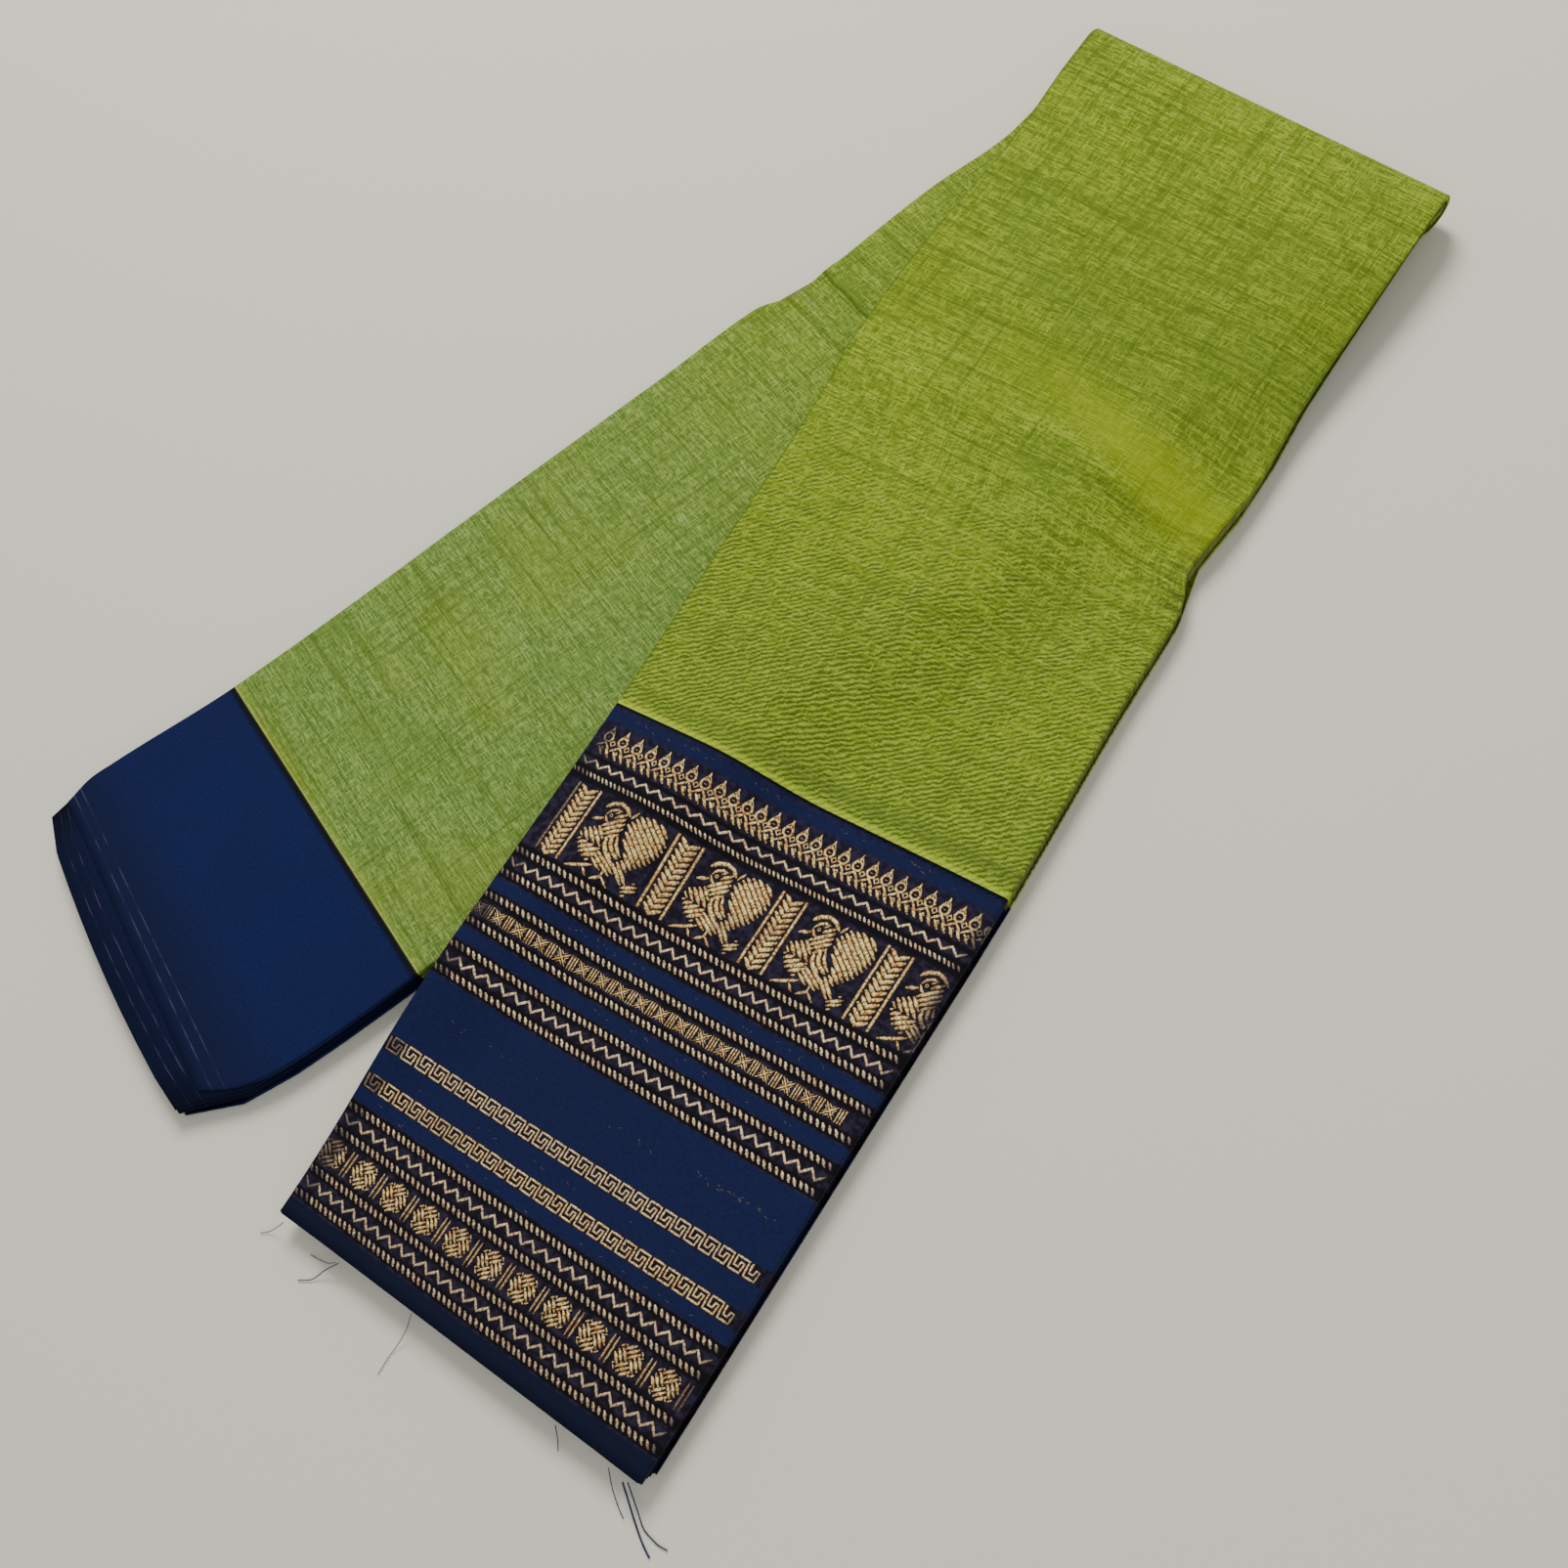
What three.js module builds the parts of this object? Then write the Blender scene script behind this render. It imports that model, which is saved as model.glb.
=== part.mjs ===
// A cotton sari folded for the shelf, in millimetres, +Z up.
// The cloth is folded back and forth into a flat strip with its two borders at the ends.
// The strip is then turned back on itself by one slanting fold, so that its two legs make a V.
// The bottom leg lies on the floor and ends in the plain border.
// The top leg crosses over it, comes down beside it and ends in the wide brocade border.

import * as THREE from 'three';

// The pack: each modelled layer stands for four layers of the real cloth
const LAYERS = 8;
const CLOTH = 1.0;
const PITCH = 1.28;
const PACK = (LAYERS - 1) * PITCH + CLOTH;

// The slanting fold, and how the top leg leaves the bottom leg
const BETWEEN_LEGS = 1.0;
const LEG_RISE = PACK + BETWEEN_LEGS;
const FOLD_SLANT = THREE.MathUtils.degToRad(10.6);
const SLIP_LENGTH = 160;
const EDGE_CLEARANCE = 2;
const SLOPE_LENGTH = 46;

// Points along each piece of the section and of the sweep
const COLUMNS = 7;
const EDGE_STEPS = 3;
const TURN_STEPS = 8;

// Both legs in plan, measured from the middle of the slanting fold.
// Each row is a line across the strip, from its left edge to its right edge.
const BOTTOM_LEG = [
  { at: 'plain end', leftX: -183, leftY: -541, rightX: -33, rightY: -574 },
  { at: 'rounded corner', leftX: -184, leftY: -529, rightX: -21, rightY: -561 },
  { at: 'selvedge stripes', leftX: -181, leftY: -515, rightX: -13, rightY: -543 },
  { at: 'border line', leftX: -165, leftY: -456, rightX: 0, rightY: -483 },
  { at: 'lower half', leftX: -145, leftY: -345, rightX: 19.5, rightY: -376 },
  { at: 'middle', leftX: -126, leftY: -238, rightX: 39, rightY: -269 },
  { at: 'below the crease', leftX: -117, leftY: -186, rightX: 49, rightY: -214 },
  { at: 'crease', leftX: -106, leftY: -168, rightX: 52, rightY: -195 },
  { at: 'above the crease', leftX: -104, leftY: -147, rightX: 56, rightY: -172 },
  { at: 'upper part', leftX: -98, leftY: -96, rightX: 65, rightY: -112 },
  { at: 'under the fold', leftX: -89, leftY: -48, rightX: 77, rightY: -52 },
  { at: 'slanting fold', leftX: -92, leftY: 0, rightX: 87.5, rightY: 0 },
];
const TOP_LEG = [
  { at: 'slanting fold', leftX: -92, leftY: 0, rightX: 87.5, rightY: 0 },
  { at: 'corner', leftX: -92.5, leftY: -20, rightX: 90, rightY: -16 },
  { at: 'below the fold', leftX: -80.5, leftY: -57, rightX: 95, rightY: -50 },
  { at: 'upper part', leftX: -72, leftY: -118, rightX: 102, rightY: -98 },
  { at: 'above the crease', leftX: -65, leftY: -160, rightX: 111.5, rightY: -142 },
  { at: 'crease', leftX: -59, leftY: -184, rightX: 113, rightY: -160 },
  { at: 'pinch', leftX: -55, leftY: -198, rightX: 111.5, rightY: -171 },
  { at: 'below the pinch', leftX: -50, leftY: -216, rightX: 121.5, rightY: -183 },
  { at: 'middle', leftX: -37, leftY: -268, rightX: 131, rightY: -234 },
  { at: 'lower part', leftX: -24.5, leftY: -320, rightX: 143, rightY: -286 },
  { at: 'border line', leftX: -16, leftY: -356, rightX: 151, rightY: -321 },
  { at: 'bird band', leftX: 0, leftY: -432, rightX: 166, rightY: -397 },
  { at: 'key bands', leftX: 15, leftY: -505, rightX: 180.5, rightY: -470 },
  { at: 'circle band', leftX: 24, leftY: -547, rightX: 189, rightY: -513 },
  { at: 'brocade end', leftX: 29.6, leftY: -575, rightX: 194.7, rightY: -542 },
];

// How far each long fold of the pack sits in from the strip's edge, from the outer layer inwards
const FOLD_INSETS = [
  { side: 'right', inset: 0 },
  { side: 'left', inset: 1.2 },
  { side: 'right', inset: 1.6 },
  { side: 'left', inset: 0.4 },
  { side: 'right', inset: 0.5 },
  { side: 'left', inset: 1.6 },
  { side: 'right', inset: 1.1 },
];
const FREE_EDGE_INSET = 0.3;

// How far each layer stands out at the two ends of the strip, from the outer layer inwards
const LAYER_ENDS = [
  { plain: 8.5, brocade: 0 },
  { plain: 7, brocade: -1.5 },
  { plain: 9.5, brocade: -3.5 },
  { plain: 6.5, brocade: -2 },
  { plain: 5, brocade: -4.5 },
  { plain: 5.5, brocade: -3 },
  { plain: 1, brocade: -5 },
  { plain: 0, brocade: -4 },
];
const END_FADE = 75;

// The old crease across the middle of each leg, a low ridge
const CREASES = {
  bottom: { y: -172, slope: -0.16, height: 1.1, spread: 15 },
  top: { y: -174, slope: 0.15, height: 1.5, spread: 17 },
};

const smooth = (t) => {
  const s = THREE.MathUtils.clamp(t, 0, 1);
  return s * s * (3 - 2 * s);
};
const ridge = (crease, x, y) => {
  const off = (y - crease.y - crease.slope * x) / crease.spread;
  return crease.height * (1 - smooth(Math.abs(off)));
};

// The top leg stays level over the bottom leg, clears its right edge and then slopes to the floor
function topLegBase(x, y) {
  const fold = BOTTOM_LEG[BOTTOM_LEG.length - 1];
  const border = BOTTOM_LEG.find((row) => row.at === 'border line');
  const lean = (fold.rightX - border.rightX) / (fold.rightY - border.rightY);
  const pastEdge = (x - (fold.rightX + lean * y)) * Math.cos(FOLD_SLANT);
  return LEG_RISE * (1 - smooth((pastEdge - EDGE_CLEARANCE) / SLOPE_LENGTH));
}

// The section's centre line: each point knows its place across, its height, its normal and its layer
function sectionPath(halfWidth) {
  const points = [];
  const insetAt = (fold) => (FOLD_INSETS[fold] ? FOLD_INSETS[fold].inset : FREE_EDGE_INSET);
  for (let layer = 0; layer < LAYERS; layer += 1) {
    const goesRight = layer % 2 === 0;
    const way = goesRight ? 1 : -1;
    const height = CLOTH / 2 + layer * PITCH;
    const bend = PITCH / 2;
    const startInset = insetAt(layer - 1);
    const endInset = insetAt(layer);
    const startBend = layer === 0 ? 0 : bend;
    const endBend = layer === LAYERS - 1 ? 0 : bend;
    const from = -way * (halfWidth - startInset - startBend);
    const to = way * (halfWidth - endInset - endBend);
    for (let i = 0; i < COLUMNS; i += 1) {
      const across = THREE.MathUtils.lerp(from, to, i / (COLUMNS - 1));
      points.push({ across, height, normal: [0, way], layer });
    }
    if (layer === LAYERS - 1) break;
    for (let i = 1; i < EDGE_STEPS; i += 1) {
      const turn = (Math.PI * i) / EDGE_STEPS;
      points.push({
        across: to + way * bend * Math.sin(turn),
        height: height + bend - bend * Math.cos(turn),
        normal: [-Math.sin(turn), way * Math.cos(turn)],
        layer: layer + i / EDGE_STEPS,
      });
    }
  }
  return points;
}

// The lines across the strip that the section is swept along, from the plain end to the brocade end
function sweepLines() {
  const leg = (rows, name) => rows.map((row) => ({ ...row, part: name }));
  const fold = TOP_LEG[0];
  const turn = [];
  for (let i = 1; i < TURN_STEPS; i += 1) {
    const angle = Math.PI * (i / TURN_STEPS - 0.5);
    turn.push({ ...fold, part: 'turn', angle });
  }
  return [...leg(BOTTOM_LEG, 'bottom'), ...turn, ...leg(TOP_LEG, 'top')];
}

function endOffset(layer, which) {
  const low = Math.floor(layer);
  const high = Math.min(low + 1, LAYERS - 1);
  return THREE.MathUtils.lerp(LAYER_ENDS[low][which], LAYER_ENDS[high][which], layer - low);
}

// Puts one point of the section on one line of the sweep
function place(line, share, height, layer) {
  const x = THREE.MathUtils.lerp(line.leftX, line.rightX, share);
  const y = THREE.MathUtils.lerp(line.leftY, line.rightY, share);
  const radius = PACK + BETWEEN_LEGS / 2 - height;
  const slip = Math.tan(FOLD_SLANT) * radius;
  if (line.part === 'turn') {
    return new THREE.Vector3(
      x + slip * line.angle,
      y + radius * Math.cos(line.angle),
      PACK + BETWEEN_LEGS / 2 + radius * Math.sin(line.angle),
    );
  }
  const isTop = line.part === 'top';
  const end = isTop ? TOP_LEG[TOP_LEG.length - 1] : BOTTOM_LEG[0];
  const endY = THREE.MathUtils.lerp(end.leftY, end.rightY, share);
  const nearEnd = 1 - smooth((y - endY) / END_FADE);
  const standOut = endOffset(layer, isTop ? 'brocade' : 'plain') * nearEnd;
  const side = isTop ? 1 : -1;
  const slipNow = side * slip * (Math.PI / 2) * (1 - smooth(-y / SLIP_LENGTH));
  const px = x + slipNow + side * standOut * Math.sin(FOLD_SLANT);
  const py = y - standOut * Math.cos(FOLD_SLANT);
  const lift = isTop ? ridge(CREASES.top, px, py) : ridge(CREASES.bottom, px, py) * (height / PACK);
  const z = isTop ? topLegBase(px, py) + PACK - height : height;
  return new THREE.Vector3(px, py, z + lift);
}

// Sweeps the section, with the cloth's thickness, into one closed solid
function foldedCloth() {
  const positions = [];
  const corner = (line, halfWidth, point, side) => {
    const across = point.across + (side * CLOTH * point.normal[0]) / 2;
    const height = point.height + (side * CLOTH * point.normal[1]) / 2;
    const at = place(line, (across / halfWidth + 1) / 2, height, point.layer);
    positions.push(at.x, at.y, at.z);
    return { index: positions.length / 3 - 1, across };
  };
  const rings = sweepLines().map((line) => {
    const halfWidth = Math.hypot(line.rightX - line.leftX, line.rightY - line.leftY) / 2;
    const path = sectionPath(halfWidth);
    const inner = path.map((point) => corner(line, halfWidth, point, 1));
    const outer = path.map((point) => corner(line, halfWidth, point, -1));
    return { inner, outer, loop: [...inner, ...outer.slice().reverse()] };
  });
  const faces = [];
  // The cut of each quad leans the same way in every layer, so that neighbouring layers stay parallel
  const quad = (a, b, c, d, cutFromFirst) => {
    const corners = cutFromFirst ? [a, b, c, a, c, d] : [b, c, d, b, d, a];
    faces.push(...corners.map((each) => each.index));
  };
  for (let j = 0; j + 1 < rings.length; j += 1) {
    const here = rings[j].loop;
    const next = rings[j + 1].loop;
    here.forEach((start, i) => {
      const after = (i + 1) % here.length;
      quad(start, here[after], next[after], next[i], start.across <= here[after].across);
    });
  }
  const first = rings[0];
  const last = rings[rings.length - 1];
  for (let i = 0; i + 1 < first.inner.length; i += 1) {
    quad(first.inner[i], first.outer[i], first.outer[i + 1], first.inner[i + 1], true);
    quad(last.inner[i], last.inner[i + 1], last.outer[i + 1], last.outer[i], true);
  }
  const geometry = new THREE.BufferGeometry();
  geometry.setAttribute('position', new THREE.Float32BufferAttribute(positions, 3));
  geometry.setIndex(faces);
  geometry.computeBoundingBox();
  const middle = geometry.boundingBox.getCenter(new THREE.Vector3());
  geometry.translate(-middle.x, -middle.y, -geometry.boundingBox.min.z);
  geometry.computeVertexNormals();
  return geometry;
}

const greenCotton = new THREE.MeshStandardMaterial({ color: 0x97a83a, roughness: 0.85, metalness: 0 });

const sari = new THREE.Group();
const cloth = new THREE.Mesh(foldedCloth(), greenCotton);
cloth.name = 'folded_sari';
sari.add(cloth);

export default sari;
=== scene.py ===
import math
from collections import namedtuple

import bpy
import numpy as np
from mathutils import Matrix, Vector


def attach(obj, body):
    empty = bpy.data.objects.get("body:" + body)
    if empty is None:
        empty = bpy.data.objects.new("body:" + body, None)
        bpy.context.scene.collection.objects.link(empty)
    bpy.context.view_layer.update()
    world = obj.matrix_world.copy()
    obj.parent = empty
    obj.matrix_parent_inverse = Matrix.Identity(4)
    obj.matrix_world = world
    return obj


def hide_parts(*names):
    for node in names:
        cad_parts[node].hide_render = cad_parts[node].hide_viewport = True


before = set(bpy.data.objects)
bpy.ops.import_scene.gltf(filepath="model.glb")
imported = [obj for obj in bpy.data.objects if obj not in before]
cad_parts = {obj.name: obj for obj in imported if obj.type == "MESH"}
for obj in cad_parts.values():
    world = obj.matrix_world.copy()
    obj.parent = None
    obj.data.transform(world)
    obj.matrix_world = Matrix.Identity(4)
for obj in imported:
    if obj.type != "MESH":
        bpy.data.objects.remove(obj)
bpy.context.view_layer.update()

# A cotton sari folded for the shelf: a green strip with navy borders, turned back once into a V.
# The cloth is built as thin layers on the folds of the CAD solid: an outer and an inner skin,
# finely meshed where they show, and the layers between them. The brocade is raised thread on the
# outer skin. Plan positions are measured from the middle of the slanting fold, as in the CAD model.

MM = 0.001
DRAWS = np.random.default_rng(7)

# Camera and light
CAMERA_FROM_FOLD = (0.3646, -0.4385, 0.5845)
CAMERA_TURN = (26.11, 14.23, 45.36)
CAMERA_LENS = 40.7
FLOOR_REACH = 6.0
FLOOR_DROP = 0.2 * MM

# The pack of layers
LAYERS = 32
CLOTH = 0.22 * MM
PACK = 9.96 * MM
PITCH = (PACK - CLOTH) / (LAYERS - 1)
BETWEEN_LEGS = 1.0 * MM
LEG_RISE = PACK + BETWEEN_LEGS
FOLD_SLANT = math.radians(10.6)
SLIP_LENGTH = 160 * MM
UPPER_WIDTH = 172 * MM
EDGE_CLEARANCE = 2 * MM
SAG_REACH = 25 * MM
HIDDEN_SAG = 1.7 * MM
SLOPE_LENGTH = 46 * MM
END_FADE = 75 * MM
END_BULGE = 3.5 * MM
LEFT_ROUNDING = 2.8 * MM
RIGHT_ROUNDING = 0.8 * MM
ROUNDED_SHARE = 0.08
INNER_EIGHTH = LAYERS // 8

# Both legs in plan, a row for each line across the strip, in millimetres
Row = namedtuple("Row", "at left_x left_y right_x right_y")
BOTTOM_LEG = [
    Row("plain end", -183, -541, -33, -574),
    Row("rounded corner", -184, -529, -21, -561),
    Row("selvedge stripes", -181, -515, -13, -543),
    Row("border line", -165, -456, 0, -483),
    Row("lower half", -145, -345, 19.5, -376),
    Row("middle", -126, -238, 39, -269),
    Row("below the crease", -117, -186, 49, -214),
    Row("crease", -106, -168, 52, -195),
    Row("above the crease", -104, -147, 56, -172),
    Row("upper part", -98, -96, 65, -112),
    Row("under the fold", -89, -48, 77, -52),
    Row("slanting fold", -92, 0, 87.5, 0),
]
TOP_LEG = [
    Row("slanting fold", -92, 0, 87.5, 0),
    Row("corner", -88.8, -20, 90, -16),
    Row("below the fold", -80.5, -57, 95, -50),
    Row("upper part", -72, -118, 102, -98),
    Row("above the crease", -65, -160, 111.5, -142),
    Row("crease", -59, -184, 113, -160),
    Row("pinch", -55, -198, 114, -177),
    Row("below the pinch", -50, -216, 122.5, -193),
    Row("middle", -37, -268, 131, -234),
    Row("lower part", -24.5, -320, 143, -286),
    Row("border line", -16, -356, 151, -321),
    Row("bird band", 0, -432, 166, -397),
    Row("key bands", 15, -505, 180.5, -470),
    Row("circle band", 24, -547, 189, -513),
    Row("brocade end", 29.6, -575, 194.7, -542),
]

# How far each eighth of the pack stands out at the strip's two ends, from the outer layer inwards
LayerEnd = namedtuple("LayerEnd", "plain brocade")
LAYER_ENDS = [
    LayerEnd(8.5, 0), LayerEnd(7, -1.5), LayerEnd(9.5, -3.5), LayerEnd(6.5, -2),
    LayerEnd(8.0, -4.5), LayerEnd(9.0, -3), LayerEnd(8.5, -5), LayerEnd(-3.5, -4),
]

# The old crease across each leg, a low ridge with a sharper trough beside it
Crease = namedtuple("Crease", "y slope height spread")
BOTTOM_CREASE = Crease(-172 * MM, -0.16, 1.1 * MM, 15 * MM)
TOP_CREASE = Crease(-174 * MM, 0.15, 1.5 * MM, 17 * MM)


def smooth(t):
    s = np.clip(t, 0.0, 1.0)
    return s * s * (3 - 2 * s)


def curve_through(knots, values, at):
    """A smooth curve through the values that never overshoots them."""
    gaps = np.diff(knots)
    slopes = np.diff(values) / gaps
    tangents = np.concatenate([[slopes[0]], np.zeros(len(slopes) - 1), [slopes[-1]]])
    same_way = slopes[:-1] * slopes[1:] > 0
    both = np.where(same_way, slopes[:-1] + slopes[1:], 1.0)
    tangents[1:-1] = np.where(same_way, 2 * slopes[:-1] * slopes[1:] / both, 0.0)
    i = np.clip(np.searchsorted(knots, at, side="right") - 1, 0, len(gaps) - 1)
    t = (at - knots[i]) / gaps[i]
    start = (1 + 2 * t) * (1 - t) ** 2 * values[i] + t * (1 - t) ** 2 * gaps[i] * tangents[i]
    end = t * t * (3 - 2 * t) * values[i + 1] + t * t * (t - 1) * gaps[i] * tangents[i + 1]
    return start + end


class Leg:
    """One leg's edges as smooth curves of the distance along its middle."""

    def __init__(self, rows):
        corners = np.array([row[1:] for row in rows], float) * MM
        middles = (corners[:, :2] + corners[:, 2:]) / 2
        steps = np.hypot(*np.diff(middles, axis=0).T)
        self.knots = np.concatenate([[0.0], np.cumsum(steps)])
        self.corners = corners
        self.length = self.knots[-1]
        self.names = [row.at for row in rows]

    def where(self, name):
        return self.knots[self.names.index(name)]

    def edges(self, along):
        return np.stack([curve_through(self.knots, c, along) for c in self.corners.T], axis=1)


BOTTOM = Leg(BOTTOM_LEG)
TOP = Leg(TOP_LEG)
FOLD_FROM_ORIGIN = (4.89 * MM, -286.20 * MM)
PLAIN_BORDER = BOTTOM.where("border line")
ZARI_START = TOP.where("border line")
ZARI_WIDTH = 168.0


def travelled(points):
    """How far each point of a line lies along it."""
    return np.concatenate([[0], np.cumsum(np.linalg.norm(np.diff(points, axis=0), axis=1))])


def spaced(start, end, step):
    count = max(1, int(round((end - start) / step)))
    return list(np.linspace(start, end, count + 1))


Lines = namedtuple("Lines", "part angle along left right")


def sweep_lines(bottom_steps, turn_steps, top_steps):
    """The lines across the strip: for each leg, spans of (start, end, step) along it."""
    def leg_lines(leg, part, spans):
        along = sorted({round(a, 7) for span in spans for a in spaced(*span)})
        edges = leg.edges(np.array(along))
        return [(part, 0.0, a, *e) for a, e in zip(along, edges)]

    fold = TOP.edges(np.array([0.0]))[0]
    turn = [math.pi * (i / turn_steps - 0.5) for i in range(1, turn_steps)]
    rows = leg_lines(BOTTOM, 0, bottom_steps)
    rows += [(1, angle, 0.0, *fold) for angle in turn]
    rows += leg_lines(TOP, 2, top_steps)
    table = np.array(rows, float)
    return Lines(table[:, 0], table[:, 1], table[:, 2], table[:, 3:5], table[:, 5:7])


def ridge(crease, x, y):
    return crease.height * (1 - smooth(np.abs((y - crease.y - crease.slope * x) / crease.spread)))


def top_leg_base(x, y):
    """Level over the bottom leg, clear of its right edge, then down to the floor."""
    fold, border = BOTTOM_LEG[-1], BOTTOM_LEG[3]
    lean = (fold.right_x - border.right_x) / (fold.right_y - border.right_y)
    past_edge = (x - (fold.right_x * MM + lean * y)) * math.cos(FOLD_SLANT)
    return LEG_RISE * (1 - smooth((past_edge - EDGE_CLEARANCE) / SLOPE_LENGTH))


def swell(x, y):
    """The cloth's slow unevenness."""
    return 0.16 * MM * (
        np.sin(x / 0.017 + 1.3 * np.sin(y / 0.031)) + np.sin(y / 0.023 + 1.7 * np.sin(x / 0.041) + 2.0)
    )


Path = namedtuple("Path", "side offset height normal_across normal_height layer")


def path_of(points):
    return Path(*np.array(points, float).T)


LAYER_STANDS = np.repeat(np.array(LAYER_ENDS) * MM, LAYERS // len(LAYER_ENDS), axis=0)
LAYER_JITTER = DRAWS.uniform(-0.45, 0.45, (LAYERS, 2)) * MM


def points_across(lines, share):
    """Plan positions at a share of the way across each line."""
    span = lines.right - lines.left
    return lines.left[:, :1] + span[:, :1] * share, lines.left[:, 1:] + span[:, 1:] * share


def stand_out(path, share, is_top):
    """How far each layer's end stands out past the end of its leg."""
    layer = np.broadcast_to(path.layer[None, :], share.shape)
    index = np.clip(np.round(layer).astype(int), 0, LAYERS - 1)
    stands, jitter = LAYER_STANDS[index], LAYER_JITTER[index]
    left = LEFT_ROUNDING * (1 - smooth(share / ROUNDED_SHARE))
    right = RIGHT_ROUNDING * (1 - smooth((1 - share) / ROUNDED_SHARE))
    bulge = END_BULGE * 4 * share * (1 - share)
    plain = stands[..., 0] + jitter[..., 0]
    plain = plain + (bulge - (left + right)) * (layer < LAYERS - INNER_EIGHTH)
    brocade = stands[..., 1] + jitter[..., 1] * (layer > 0.5)
    return np.where(is_top, brocade, plain)


def place(lines, path, side, relief=0.0, sag=0.0):
    """Puts a section path, offset by half the cloth to one side, on every line of a sweep."""
    half = np.hypot(*(lines.right - lines.left).T)[:, None] / 2
    across = path.side[None, :] * half + path.offset[None, :]
    across = across + side * CLOTH / 2 * path.normal_across[None, :]
    height = (path.height + side * CLOTH / 2 * path.normal_height)[None, :]
    share = (across / half + 1) / 2
    x, y = points_across(lines, share)
    part = lines.part[:, None]
    is_top, is_turn = part == 2, part == 1
    middle = PACK + BETWEEN_LEGS / 2
    radius = middle - height
    slip = math.tan(FOLD_SLANT) * radius
    end = np.where(is_top, TOP.corners[-1][None, :], BOTTOM.corners[0][None, :])
    end_y = end[:, 1:2] + (end[:, 3:4] - end[:, 1:2]) * share
    stand = stand_out(path, share, is_top) * (1 - smooth((y - end_y) / END_FADE))
    way = np.where(is_top, 1.0, -1.0)
    slip_now = way * slip * (math.pi / 2) * (1 - smooth(-y / SLIP_LENGTH))
    px = x + slip_now + way * stand * math.sin(FOLD_SLANT)
    py = y - stand * math.cos(FOLD_SLANT)
    up = height / PACK
    bottom_z = height + (ridge(BOTTOM_CREASE, px, py) + swell(px, py) + relief) * up
    sagged = sag * smooth((half - np.abs(across)) / SAG_REACH)
    top_z = top_leg_base(px, py) + PACK - height + ridge(TOP_CREASE, px, py)
    top_z = top_z + (swell(px + 0.3, py) + relief - sagged) * (1 - up)
    angle = lines.angle[:, None]
    turned = (x + slip * angle, y + radius * np.cos(angle), middle + radius * np.sin(angle))
    flat = (px, py, np.where(is_top, top_z, bottom_z))
    at = [np.where(is_turn, a, b) for a, b in zip(turned, flat)]
    return np.stack(at, axis=-1), share


def skin_path(height, inwards, columns, layer, wrap):
    """A skin of the pack: flat, rounded over both edges, then a little way down the side."""
    bend = 0.7 * MM
    arc = [math.pi / 2 * i / 4 for i in range(5)]
    points = []
    for edge in (-1, 1):
        rim = []
        for turn in arc:
            offset = edge * (bend * math.sin(turn) - bend)
            rim.append((edge, offset, height + inwards * bend * (1 - math.cos(turn)),
                        edge * math.sin(turn), -inwards * math.cos(turn), layer))
        rim.append((edge, 0.0, height + inwards * (bend + wrap), edge, 0.0, layer))
        flat = [(2 * i / (columns - 1) - 1, 0.0, height, 0.0, -inwards, layer) for i in range(1, columns - 1)]
        points += rim[::-1] + flat if edge < 0 else rim
    return path_of(points)


def inner_path(first, last, columns):
    """The layers between the skins, folded back and forth, with uneven folds at both edges."""
    insets = DRAWS.uniform(0.35, 1.5, LAYERS + 1) * MM
    insets += 0.6 * MM * (DRAWS.uniform(0, 1, LAYERS + 1) > 0.75)
    points = []
    bend = PITCH / 2
    for layer in range(first, last + 1):
        way = 1 if layer % 2 == 0 else -1
        height = CLOTH / 2 + layer * PITCH
        start = insets[layer] + (bend if layer > first else 0.0)
        end = insets[layer + 1] + (bend if layer < last else 0.0)
        for i in range(columns):
            t = i / (columns - 1)
            points.append((way * (2 * t - 1), way * ((1 - t) * start - t * end), height, 0.0, way, layer))
        if layer == last:
            break
        for turn in (math.pi / 3, 2 * math.pi / 3):
            points.append((way, -way * (end - bend * math.sin(turn)), height + bend * (1 - math.cos(turn)),
                           -math.sin(turn), way * math.cos(turn), layer + turn / math.pi))
    return path_of(points)


def link(item):
    bpy.context.scene.collection.objects.link(item)
    return item


class MeshMaker:
    """Gathers vertices, faces and the attributes that the materials read."""

    def __init__(self):
        self.points, self.faces, self.slots = [], [], []
        self.values = {}
        self.count = 0

    def add(self, points, faces, slot=0, **values):
        points = np.asarray(points, float).reshape(-1, 3)
        self.points.append(points)
        faces = np.asarray(faces, int)
        self.faces.append(faces + self.count)
        self.slots.append(np.broadcast_to(slot, len(faces)))
        for name, value in values.items():
            self.values.setdefault(name, []).append(value)
        self.count += len(points)

    def object(self, name, materials):
        mesh = bpy.data.meshes.new(name)
        faces = np.concatenate(self.faces)
        mesh.from_pydata(np.concatenate(self.points).tolist(), [], faces.tolist())
        for material in materials:
            mesh.materials.append(material)
        mesh.polygons.foreach_set("material_index", np.concatenate(self.slots).astype(np.int32))
        mesh.polygons.foreach_set("use_smooth", np.ones(len(faces), bool))
        for key, parts in self.values.items():
            data = np.concatenate(parts)
            vector = data.ndim > 1
            layer = mesh.attributes.new(key, "FLOAT_VECTOR" if vector else "FLOAT", "POINT")
            layer.data.foreach_set("vector" if vector else "value", data.astype(np.float32).ravel())
        mesh.update()
        return link(bpy.data.objects.new(name, mesh))


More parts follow.
